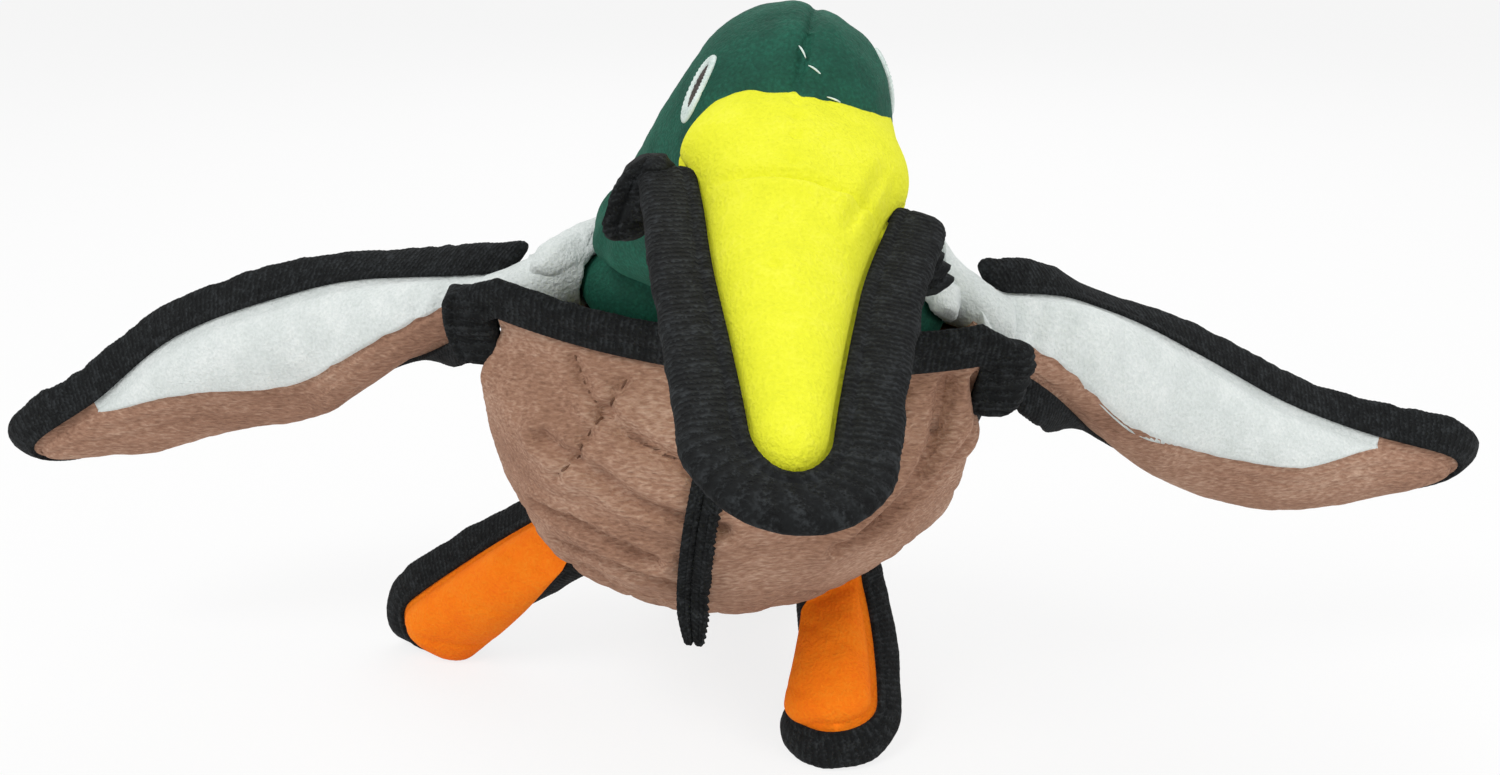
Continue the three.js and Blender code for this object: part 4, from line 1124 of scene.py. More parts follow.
    def flange(self, s: float, side: int, out: float, up: float) -> Vector:
        """A point beside the side seam, out along its folded binding and up from it.

        Args:
            s: Distance along the body.
            side: 1 for the left seam, -1 for the right.
            out: Distance out from the seam.
            up: Distance up from it.

        Returns:
            The point.
        """
        out, up = folded(out, up, math.radians(self.tape_fold) * smoothstep(s, 20, 34))
        slope = (self.half_width(s + 1) - self.half_width(s - 1)) / 2
        length = math.hypot(1, slope)
        return self.at(side * (self.half_width(s) + out / length), s - out * slope / length, up)

    def quilting(self, girth: float, run: float) -> float:
        """Height of diamond quilting, from the distance round the body and along it.

        Args:
            girth: Distance round the body.
            run: Distance along it.

        Returns:
            The height, lowest on the stitched lines.
        """
        total = 0.0
        for sign in (1, -1):
            line = (run + sign * girth * 1.25) / self.quilt
            off = abs(line - round(line)) * self.quilt / 1.6
            total -= 1.25 * groove(off, 1.1) - 0.8 * min(off / 12, 1.0) ** 0.5
        return total

    def belly_relief(self, s: float, angle: float) -> float:
        """Quilting, sag creases and lumps on the belly.

        Args:
            s: Distance along the body.
            angle: The turn round it, in radians.

        Returns:
            The height over the belly.
        """
        place = self.belly(s, angle)
        girth = (angle - math.radians(118)) * 68
        height = self.quilting(girth, s * 1.15 - 31) * smoothstep(s, 50, 75)
        for crease, marks in self.crease_lines:
            off = off_line(place, marks)
            if off < 12:
                bank = 0.6 * crease.depth * groove(off - 4.5, 3.0)
                height -= 1.3 * crease.depth * groove(off, crease.width) - bank
        low = smoothstep(s, 40, 62) * (1 - smoothstep(s, 120, 140))
        for start, depth, bend in self.sags:
            line = s - start - bend * (math.cos(angle) + 0.3) ** 2 - 5 * lumps(place, 26)
            height -= depth * groove(line, 2.0) * low * max(0.55 + 0.9 * lumps(place, 23), 0.0)
        seam = groove(self.leftward.dot(place) - self.seam_place, 1.3)
        height += rumple(place, (1.3, 17), (0.5, 6), (0.22, 1.8)) - seam
        return height * smoothstep(math.sin(angle), 0.02, 0.2) * smoothstep(s, -1, 4)

    def back_relief(self, s: float, angle: float) -> float:
        """Quilting and lumps on the back.

        Args:
            s: Distance along the body.
            angle: The turn round it, in radians.

        Returns:
            The height over the back.
        """
        place = self.back(s, angle)
        height = self.quilting((angle - QUARTER) * 62, s * 1.05 - 12)
        height += rumple(place, (1.1, 24), (0.4, 7), (0.16, 1.8))
        return height * smoothstep(math.sin(angle), 0.02, 0.2) * smoothstep(s, 0, 6)

    def out_of_socket(self, place: Vector) -> Vector:
        """The place moved toward the tail until it is clear of the round neck inside the opening.

        Args:
            place: A place inside the opening.

        Returns:
            The place, moved where it has to be.
        """
        across = (place - NOD_CENTRE).dot(self.leftward)
        radius = self.socket_radius * math.sqrt(max(1 - (across / self.socket_half_width) ** 2, 0.0))
        radial = place - NOD_CENTRE - self.leftward * across
        if radial.length >= radius:
            return place
        ahead = radial.dot(self.tailward)
        return place + self.tailward * (math.sqrt(ahead**2 - radial.length_squared + radius**2) - ahead)

    def ring(self, s: float, inset: float, lift: float) -> list[Vector]:
        """A closed ring of the skin: belly, right seam, back and left seam.

        Args:
            s: Distance along the body.
            inset: How far inside the skin it is.
            lift: Height over the seams.

        Returns:
            The points, from the left seam over the belly.
        """
        share = smoothstep(s, 26, 34) if not inset else 0.0
        tucks = [(out, -up) for out, up in reversed(TUCKS)] + [*TUCKS]
        turns = steps(0, math.pi, self.columns)
        right = [self.flange(s, -1, out * share - inset, up) for out, up in tucks]
        left = [self.flange(s, 1, out * share - inset, up) for out, up in reversed(tucks)]
        front = [self.belly(s, angle, inset, lift) for angle in turns]
        behind = [self.back(s, angle, inset, lift) for angle in reversed(turns)]
        return [*front, *right, *behind, *left]

    def skin_rows(self) -> tuple[Rows, Heights]:
        """Closed rows of the skin from inside the neck opening to the tail, and their heights.

        Returns:
            The rows and the height at each point.
        """
        turns = steps(0, math.pi, self.columns)
        flat = [0.0] * (2 * len(TUCKS))
        stations = [self.length * share**1.2 for share in steps(0, 1, self.stations)]
        rows = [self.ring(s, 0.0, SKIN_LIFT) for s in stations]
        heights = []
        for s in stations:
            front = [self.belly_relief(s, angle) for angle in turns]
            behind = [self.back_relief(s, angle) for angle in reversed(turns)]
            heights.append([*front, *flat, *behind, *flat])
        rim = [3.4] * len(turns) + [0.6] * (len(rows[0]) - len(turns))
        lip = [place + self.breast_up * up for place, up in zip(self.ring(0, 0.9, 0.4), rim)]
        walls = [[self.out_of_socket(place) for place in self.ring(s, 2.4, 0.0)] for s in (3.0, 9.0, 15.0)]
        middle = self.at(0, 17, -4)
        floor = [[self.out_of_socket(middle.lerp(place, share)) for place in walls[-1]]
                 for share in (0.0, 0.2, 0.4, 0.6, 0.8)]
        inside = [*floor, *reversed(walls), lip]
        return inside + rows, [[0.0] * len(rows[0])] * len(inside) + heights

    def build(self) -> None:
        """Builds every piece of the body."""
        rows, heights = self.skin_rows()
        skin = self.shop.piece("body_skin", rows, BROWN, "body", heights=heights)
        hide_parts("belly_panel_left", "belly_panel_right", "back_panel", "body_stuffing")
        self.quilt_stitches()
        self.breast_tape()
        self.side_tapes()
        self.centre_tape()
        cape = self.shop.remeshed("white_cape", ["neck_ring_cape"], WHITE, "body", voxel=0.0015, rounds=9,
                                  fuller=-0.0006)
        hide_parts("neck_ring_cape")
        self.collar("right", self.right_collar)
        self.collar("left", self.left_collar)
        for name in ("squeaker_bladder", "squeaker_reed"):
            node = bpy.data.objects[name]
            for slot in node.material_slots:
                slot.link = "OBJECT"
                slot.material = self.shop.materials.get(SOFT_PLASTIC)

    def collar(self, name: str, sections: Sequence[tuple[float, ...]]) -> None:
        """A stuffed shoulder of the white neck ring, from beside the neck to the wing's root.

        Args:
            name: The side that it is on.
            sections: Places to the left, back and up, half-depths and half-heights, from the neck outward.
        """
        lines = [[(float(i), section[k]) for i, section in enumerate(sections)] for k in range(5)]
        last = len(sections) - 1.0
        stops = [(0.0, share) for share in (0.02, 0.3, 0.55, 0.75, 0.9)]
        stops += [(at, 1.0) for at in steps(0, last, 34)]
        stops += [(last + 0.3 * math.sin(turn), math.cos(turn)) for turn in steps(0, 1.5, 6)[1:]]
        rows, heights = [], []
        for at, share in stops:
            x, y, z, deep, high = (through(line, min(at, last)) for line in lines)
            x += (sections[-1][0] - sections[-2][0]) * max(at - last, 0.0)
            row = []
            for turn in circle(60):
                off = Vector((0, share * deep * math.cos(turn), share * high * math.sin(turn)))
                row.append(self.beside_neck(Vector((x, y, z)) + off))
            rows.append(row)
            heights.append([rumple(place, (0.7, 11), (0.25, 3)) for place in row])
        piece = self.shop.piece(f"white_collar_{name}", rows, WHITE, "body", heights=heights)

    def quilt_stitches(self) -> None:
        """The stitched lines that cross on the belly, sewn in short stitches."""
        step = 0.004
        for index, crease in enumerate(STITCHED):
            line = [[(i, mark[k]) for i, mark in enumerate(crease.marks)] for k in (0, 1)]
            rows = []
            for at in steps(0, len(crease.marks) - 1.0, 220):
                s, angle = (through(pairs, at) for pairs in line)
                place = self.belly(s, angle)
                around = self.belly(s, angle + step) - self.belly(s, angle - step)
                along = self.belly(s + 0.1, angle) - self.belly(s - 0.1, angle)
                normal = along.cross(around).normalized()
                if normal.dot(self.dorsal) > 0:
                    normal.negate()
                ahead = self.belly(*(through(pairs, at + 0.02) for pairs in line))
                behind = self.belly(*(through(pairs, at - 0.02) for pairs in line))
                across = normal.cross(ahead - behind).normalized()
                dip = 0.45 * math.sin(at * 11.0)
                centre = place + normal * (self.belly_relief(s, angle) + dip)
                rows.append([centre + across * (0.34 * math.cos(turn)) + normal * (0.3 * math.sin(turn))
                             for turn in circle(6)])
            self.shop.piece(f"quilt_stitch_{index}", rows, BROWN_THREAD, "body")

    def beside_neck(self, place: Vector) -> Vector:
        """The place moved sideways until it is clear of the neck at every nod.

        Args:
            place: A place of the white ring.

        Returns:
            The place, moved where it has to be.
        """
        off = place - NOD_CENTRE
        across = off.dot(self.leftward)
        radial = (off - self.leftward * across).length
        room = self.socket_half_width * math.sqrt(max(1 - (radial / self.socket_radius) ** 2, 0.0))
        if off.z > 8:
            room = max(room, lerp(self.low_room, self.high_room, smoothstep(off.z, 12, 40)))
        if abs(across) >= room:
            return place
        return place + self.leftward * (math.copysign(room, across) - across)

    def breast_tape(self) -> None:
        """The binding that stands on the rim of the belly, with a bunched end at each shoulder."""
        rim = [self.belly(0, angle, CLOTH / 2, 0.65) for angle in steps(0, math.pi, 90)]
        corners = [self.at(side * 81.5, 7, -2) for side in (1, -1)]
        path = [*(corners[0].lerp(rim[0], share) for share in steps(0, 0.92, 12)), *rim,
                *(rim[-1].lerp(corners[1], share) for share in steps(0.08, 1, 12))]
        ribbon = Ribbon(half=2.4, wobble=0.7, stitch_place=4.4)
        arc = Arc.joining(path)
        frames = []
        for distance in arc.every(ribbon.spacing):
            outward = arc.tangent(distance).cross(self.breast_up).normalized()
            frames.append((arc.point(distance), self.breast_up, outward))
        tape = self.shop.tape("breast_tape_ribbed", ribbon, frames, "body")
        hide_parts("breast_tape")
        for side, name in ((1, "left"), (-1, "right")):
            top = self.at(side * 77, 6, -1) + self.breast_up * 12.5
            low = self.at(side * 75, 18, -6)
            bunched = Ribbon(start=-7.4, width=14.2, half=3.6, rib=2.6, rib_height=0.5, wobble=1.5,
                             uneven=1.3)
            spine = Arc(lambda share: top.lerp(low, share)
                        + self.leftward * (side * 1.5 * math.sin(math.pi * share)))
            frames = []
            for distance in spine.every(self.fold_spacing):
                deep = spine.tangent(distance).cross(self.leftward).normalized()
                frames.append((spine.point(distance), self.leftward, deep))
            self.shop.tape(f"breast_fold_{name}", bunched, frames, "body")

    def side_tapes(self) -> None:
        """The binding along each side seam."""
        ribbon = Ribbon()
        rings = int((self.length - self.side_tape_from) / self.side_spacing)
        for side, name in ((1, "left"), (-1, "right")):
            frames = []
            for s in steps(self.side_tape_from, self.length, rings):
                base, outer = self.flange(s, side, 0, 0), self.flange(s, side, 1, 0)
                frames.append((base, (outer - base).normalized(), self.dorsal))
            tape = self.shop.tape(f"side_tape_ribbed_{name}", ribbon, frames, "body")
            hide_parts(f"side_tape_{name}")

    def centre_tape(self) -> None:
        """The folded tape down the belly, whose lower end hangs free."""
        path = [self.belly(s, QUARTER, 0, 3.1) for s in steps(9, 46, 40)]
        run = (path[-1] - path[-4]).normalized()
        hang = Vector((0, -0.12, -1)).normalized()
        for out in steps(0.6, 21, 30):
            path.append(path[-1] + run.lerp(hang, smoothstep(out, 0, 9)).normalized() * 0.7)
        arc = Arc.joining(path)
        for name, start, width, slant in (("outer", -2.6, 4.9, 0.9), ("inner", 1.7, 4.9, -0.9)):
            ribbon = Ribbon(start=start, width=width, half=2.1, rib=2.1, rib_height=0.5, slant=slant,
                            wobble=0.5, uneven=0.6)
            frames = []
            for distance in arc.every(self.centre_spacing):
                closing = 1 - 0.3 * smoothstep(distance, arc.length - 12, arc.length)
                outward = arc.tangent(distance).cross(self.leftward).normalized()
                thinning = lerp(1.0, 0.75, smoothstep(distance, arc.length - 5, arc.length))
                place = arc.point(distance) + self.leftward * (3 * (1 - closing))
                frames.append((place, self.leftward * closing, outward * thinning))
            tape = self.shop.tape(f"belly_tape_{name}", ribbon, frames, "body")
            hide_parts("belly_centre_tape")


@dataclass(frozen=True)
class Ring:
    """A ring of the head: its centre, half-sizes, forward lean and roll."""

    x: float
    y: float
    z: float
    half_width: float
    half_depth: float
    lean: float
    roll: float = 0.0


@dataclass
class Head:
    """The green head and neck, the yellow bill, its binding, the cheek folds and the embroidered eyes.

    The head is a stack of rings. A level counts them from the neck's base, and a turn goes round them from
    the duck's left. Leans, rolls, slopes and the eyes' angles are in degrees, the eyes' tilt in radians.
    """

    shop: Workshop
    body: Body
    columns: int = 168
    ball_radius: float = 22.0
    ball_half_width: float = 54.0
    neck_lean: float = 18.0
    waist: int = 4
    neck_seam: float = 5.55
    bill_length: float = 103.5
    bill_half: float = 23.3
    bill_rise: float = 15.0
    bill_drop: float = 10.0
    bill_slope: float = 19.1
    bill_roll: float = 9.0
    bill_skew: float = 0.11
    bill_behind: float = 24.0
    bill_round: float = 9.0
    bill_tape_width: float = 12.8
    bill_base: tuple[float, float, float] = (11.3, -62, 60)
    tape_from: float = 5.0
    eye_level: float = 7.88
    throat: float = 1.8
    eye_tilt: float = -0.44
    eye_angles: tuple[float, float] = (24.0, 198.5)
    eye_size: tuple[float, float] = (17.6, 6.6)
    eye_hole: tuple[float, float] = (11.0, 2.4)
    core_size: tuple[float, float] = (11.2, 2.8)
    cheek_path: tuple[tuple[float, float, float], ...] = (
        (-6.5, 0, 12), (-4.5, -0.5, 8), (-2.2, 0, 3), (0, 0.5, -3), (0.8, 1, -8.0))
    dimples: Pairs = ((-6, -1.5), (1, -1.5), (8, -2), (17.5, -2.2), (23, -2.6), (37, -3), (52, -4))
    crown_marks: tuple[tuple[float, float, float], ...] = (
        (10.2, 262, 0.5), (9.75, 284, 0.5), (9.0, 300, 0.4), (8.75, 306, 0.3))
    upper_rings: tuple[Ring, ...] = (
        Ring(-2, -20, 22.5, 45, 27, 20), Ring(0, -34, 40.5, 36, 31, 27, 3),
        Ring(3.5, -49, 59, 29, 30.5, 30, 6), Ring(7.2, -56, 73, 23.5, 25.5, 30, 8),
        Ring(8.6, -59.5, 80.5, 16.5, 18, 30, 8),
        Ring(9.2, -62, 84.5, 8.7, 9.5, 30, 8), Ring(9.4, -63, 86, 0, 0, 30, 8),
    )
    width_line: Pairs = ((-24, 1.04), (-10, 1.06), (0, 1.02), (28, 0.77), (55, 0.565), (80, 0.39), (95, 0.3),
                         (103.5, 0.25))
    rise_line: Pairs = ((-24, 1.08), (0, 1.04), (50, 0.66), (85, 0.46), (103.5, 0.36))

    def __post_init__(self) -> None:
        """Works out the neck's directions, its rings and the bill's pattern."""
        leftward = self.body.leftward
        upright = Vector((0, 0, 1))
        self.up = (upright - leftward * upright.dot(leftward)).normalized()
        self.behind = self.up.cross(leftward).normalized()
        lean = math.radians(self.neck_lean)
        ball = []
        for level in (-12, -6, 0, 6, 12):
            share = math.sqrt(1 - (level / self.ball_radius) ** 2)
            ball.append(Ring(0, -level * math.sin(lean), level * math.cos(lean), self.ball_half_width * share,
                             self.ball_radius * share, self.neck_lean))
        rings = [*ball, *self.upper_rings]
        self.top = len(rings) - 1
        self.lower_lines, self.upper_lines = (
            {each.name: [(i, getattr(rings[i], each.name)) for i in range(first, last + 1)]
             for each in fields(Ring)}
            for first, last in ((0, self.waist), (self.waist, self.top))
        )
        self.middle = Matrix.Rotation(math.radians(8), 3, self.behind) @ leftward
        self.crown = self.skin(self.top, 0.0)
        self.bill = self.bill_pad()

    def in_neck(self, x: float, y: float, z: float) -> Vector:
        """A place to the left, behind and above the nod centre."""
        return NOD_CENTRE + self.body.leftward * x + self.behind * y + self.up * z

    def skin(self, level: float, angle: float) -> Vector:
        """A point of the head, from the duck's left (0) over its back to its right (half a turn).

        Args:
            level: The ring that it is on, counted from the neck's base.
            angle: The turn round it, in radians.

        Returns:
            The point.
        """
        lines = self.lower_lines if level <= self.waist else self.upper_lines
        ring = Ring(**{name: through(line, level) for name, line in lines.items()})
        lean, roll = math.radians(ring.lean), math.radians(ring.roll)
        sideways = self.body.leftward * math.cos(roll) - self.up * math.sin(roll)
        backward = self.behind * math.cos(lean) + self.up * math.sin(lean)
        place = self.in_neck(ring.x, ring.y, ring.z) + sideways * (ring.half_width * math.cos(angle))
        return place + backward * (ring.half_depth * math.sin(angle))

    def raised(self, level: float, angle: float, height: float) -> Vector:
        """A point at a height over the skin.

        Args:
            level: The ring that it is on, counted from the neck's base.
            angle: The turn round it, in radians.
            height: How far it is off the skin.

        Returns:
            The point.
        """
        step = 0.01
        along = self.skin(level + step, angle) - self.skin(level - step, angle)
        around = self.skin(level, angle + step) - self.skin(level, angle - step)
        return self.skin(level, angle) + around.cross(along).normalized() * height

    def relief(self, level: float, angle: float, place: Vector) -> float:
        """Seams, gathers and lumps of the head.

        Args:
            level: The ring that it is on, counted from the neck's base.
            angle: The turn round it, in radians.
            place: The point of the skin there.

        Returns:
            The height over the skin.
        """
        if level < self.waist - 3:
            return 0.0
        off = (place - self.crown).dot(self.middle)
        above = smoothstep(level, self.neck_seam, self.neck_seam + 0.3)
        deep = lerp(0.5, 1.5, smoothstep(level, 8.6, 10.2))
        height = (0.45 * groove(abs(off) - 4.5, 3.0) - groove(off, 1.3)) * deep * above
        height -= 0.35 * groove((level - self.neck_seam) * 17, 1.3)
        gathers = groove((level - self.neck_seam + 0.5) * 17, 9)
        height += 0.45 * gathers * math.sin(angle * 17 + 2.2 * lumps(place, 15))
        height += rumple(place, (0.9, 16), (0.3, 6), (0.10, 1.7))
        throat = groove(level - self.waist - 0.4, 0.6) * smoothstep(-math.sin(angle), -0.2, 0.4)
        return height * smoothstep(level, self.waist - 0.5, self.waist + 0.6) + self.throat * throat

    def bill_pad(self) -> Pad:
        """The bill's pattern, which slopes down from the face.

        Returns:
            The pattern.
        """
        slope, roll = math.radians(self.bill_slope), math.radians(self.bill_roll)
        spine = Vector((-0.004, -math.cos(slope), -math.sin(slope))).normalized()
        sideways = Vector((math.cos(roll), 0, -math.sin(roll)))
        sideways = (sideways - spine * sideways.dot(spine)).normalized()
        upward = sideways.cross(spine).normalized()
        if upward.z < 0:
            upward.negate()
        base = Vector(self.bill_base)

        def place(along: float, across: float, up: float) -> Vector:
            """A point of the bill.

            Args:
                along: The place down the bill from the face.
                across: The place to the left across it.
                up: The height over the seam.

            Returns:
                The point.
            """
            skewed = along + self.bill_skew * across * (1 - smoothstep(along, 15, 70))
            moved = across + 2.3 * (1 - smoothstep(along, 5, 48))
            return base + spine * skewed + sideways * moved + upward * up

        def fuller(_side: int, along: float, share: float) -> float:
            """How much wider than its seam the bill is where it goes into the face.

            Args:
                along: The place down the bill.
                share: Share of the half-width.

            Returns:
                The added half-width.
            """
            narrowing = 6.5 * smoothstep(-along, -2, 20) if share < 0 else 2.0 * smoothstep(-along, 2, 20)
            return 3.2 * (1 - smoothstep(along, 0, 16)) - narrowing

        return Pad(
            length=self.bill_length, rounded_end=self.bill_round, start=-self.bill_behind,
            tape_from=self.tape_from,
            half_width=lambda along: self.bill_half * through(self.width_line, along),
            upper_rise=lambda along: self.bill_rise * through(self.rise_line, along),
            lower_rise=lambda along: self.bill_drop * through(self.rise_line, along),
            place=place, bare_to=self.tape_from - 2, fuller=fuller,
            ribbon=Ribbon(width=self.bill_tape_width, wobble=0.55),
        )

    def bill_relief(self, along: float, across: float) -> float:
        """The crease across the bill, the stitch dimples down it and the folds beside the left cheek.

        Args:
            along: The place along.
            across: The place across.

        Returns:
            The height over the panel.
        """
        place = Vector((along, across, 0))
        height = rumple(place, (0.55, 14), (0.25, 5), (0.10, 1.7))
        bow = 0.012 * (across - 1) ** 2
        height -= 3.4 * groove(along - 23.0 + bow, 1.6) * smoothstep(24 - abs(across), 0, 5)
        height += 1.8 * groove(along - 27.5 + bow, 2.8)
        for stop, off in self.dimples:
            spot = math.hypot(along - stop, across - off)
            height -= 1.3 * groove(spot, 1.5) - 0.4 * groove(spot - 4, 2.5)
        for line, lean, depth in ((17.5, 0.30, 1.8), (21.0, 0.22, 1.3)):
            here = smoothstep(along, 2, 8) * (1 - smoothstep(along, 26, 38))
            height -= depth * groove(across - line + lean * (along - 12), 1.4) * here
            height += 0.8 * groove(across - line + 3 + lean * (along - 12), 2.2) * here
        return height

    def plain_relief(self, along: float, across: float) -> float:
        """Soft unevenness of the bill's underside."""
        return 0.7 * lumps(Vector((along, across, 9)), 12) - 0.8 * groove(across, 1.2)

    def build(self) -> None:
        """Builds every piece of the head."""
        around = [2 * math.pi * j / self.columns for j in range(self.columns)]
        levels = steps(0, self.waist, 22) + steps(self.waist, self.top, 130)[1:]
        rows = [[self.skin(level, angle) for angle in around] for level in levels]
        heights = [[self.relief(level, angle, place) for angle, place in zip(around, row)]
                   for level, row in zip(levels, rows)]
        skin = self.shop.piece("head_skin", rows, GREEN, "head", heights=heights)
        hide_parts("neck_sleeve", "head_panel_left", "head_panel_right", "head_stuffing")
        panels = self.bill.skin(72, self.bill_relief, self.plain_relief, per=1.1)
        bill = self.shop.piece("bill_skin", panels, YELLOW, "head")
        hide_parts("bill_top", "bill_bottom", "bill_stuffing")
        tape = self.shop.tape("bill_tape_ribbed", self.bill.ribbon, self.bill.tape_frames(), "head")
        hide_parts("bill_tape")
        for side, name in ((1, "left"), (-1, "right")):
            self.cheek_fold(side, name)
            self.eye(side, name)
        self.crown_stitches()

    def cheek_fold(self, side: int, name: str) -> None:
        """The end of the bill's binding, folded back and bunched at the cheek.

        Args:
            side: 1 for the left cheek, -1 for the right.
            name: The name of the side.
        """
        beside = self.bill_half + TAPE_STAND_OFF + self.bill_tape_width - (5 if side > 0 else 0)
        centre = self.bill.place(self.tape_from + 6, side * beside, -8.9)
        sideways, deep = Vector((1, 0, 0)), Vector((0, 1, 0))
        path = [centre + sideways * (side * out) + Vector((0, back, up)) for out, back, up in self.cheek_path]
        spine = Arc(smooth_curve(path), 80)
        ribbon = Ribbon(start=-5.6, width=11.2, half=5.6, rib=3.1, rib_height=1.1, slant=0.5, wobble=2.0,
                        stitch_place=3.4, uneven=1.6)
        frames = []
        for distance in spine.every(self.body.fold_spacing):
            share = distance / spine.length
            closing = math.sin(math.pi * lerp(0.16, 0.80, share)) ** 0.5
            frames.append((spine.point(distance), sideways * closing, deep * closing))
        fold = self.shop.tape(f"cheek_fold_ribbed_{name}", ribbon, frames, "head")
        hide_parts(f"cheek_fold_{name}")

    def eye(self, side: int, name: str) -> None:
        """A satin-stitched ring with a dark core on the side of the head.

        Args:
            side: 1 for the left eye, -1 for the right.
            name: The name of the side.
        """
        angle = math.radians(self.eye_angles[0 if side > 0 else 1])
        tilt = -side * self.eye_tilt
        level, step = self.eye_level, 0.01
        per_level = (self.skin(level + step, angle) - self.skin(level - step, angle)).length / step / 2
        per_angle = (self.skin(level, angle + step) - self.skin(level, angle - step)).length / step / 2

        def oval(size: tuple[float, float], height: Callable[[int], float], count: int = 84) -> list[Vector]:
            """A closed line round the eye.

            Args:
                size: Its height and its width.
                height: How far each of its points is off the skin.
                count: How many points it has.

            Returns:
                The points.
            """
            row = []
            for j in range(count):
                turn = 2 * math.pi * j / count
                up, over = size[0] / 2 * math.sin(turn), size[1] / 2 * math.cos(turn)
                up, over = (up * math.cos(tilt) - over * math.sin(tilt),
                            over * math.cos(tilt) + up * math.sin(tilt))
                row.append(self.raised(level + up / per_level, angle + over / per_angle, height(j)))
            return row

        rows = []
        for share in steps(0, 1, 8):
            size = tuple(lerp(inner, outer, share) for inner, outer in zip(self.eye_hole, self.eye_size))
            dome = 0.3 + 0.5 * max(math.sin(math.pi * share), 0.0) ** 0.6
            rows.append(oval(size, lambda j, dome=dome: dome + (0.16 if j % 2 else -0.1)))
        rows += [oval(self.eye_size, lambda _j: -0.6), oval(self.eye_hole, lambda _j: -0.6)]
        rows.append(rows[0])
        outer = self.shop.piece(f"eye_ring_stitched_{name}", rows, EYE_THREAD, "head", close_ends=False)
        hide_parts(f"eye_ring_{name}")
        rows = []
        for share in (0.02, 0.25, 0.5, 0.75, 0.92, 1.0):
            dome = 0.3 + 0.3 * (1 - share**2)
            size = tuple(measure * share for measure in self.core_size)
            rows.append(oval(size, lambda j, dome=dome: dome + (0.1 if j % 4 < 2 else -0.08)))
        rows += [oval(self.core_size, lambda _j: -0.5), oval((0.2, 0.1), lambda _j: -0.5)]
        core = self.shop.piece(f"eye_core_stitched_{name}", rows, DARK_THREAD, "head")
        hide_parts(f"eye_core_{name}")

    def crown_stitches(self) -> None:
        """Loose light stitches beside the seam over the crown."""
        for index, (level, angle, turn) in enumerate(self.crown_marks):
            centre = self.raised(level, math.radians(angle), 0.35)
            other = self.raised(level - 0.12, math.radians(angle + 7), 0.35)
            direction = (other - centre).normalized()
            normal = (self.raised(level, math.radians(angle), 1.35) - centre).normalized()
            across = direction.cross(normal)
            rows = []
            for run in steps(-1.9, 1.9, 10):
                size = 0.24 * math.sqrt(max(1 - (run / 2.0) ** 2, 0.02))
                sunk = -0.45 * (run / 1.9) ** 2
                rows.append([centre + direction * run + normal * (sunk + size * math.sin(t) + turn * 0.1)
                             + across * (size * math.cos(t)) for t in circle(8)])
            self.shop.piece(f"crown_stitch_{index}", rows, EYE_THREAD, "head")


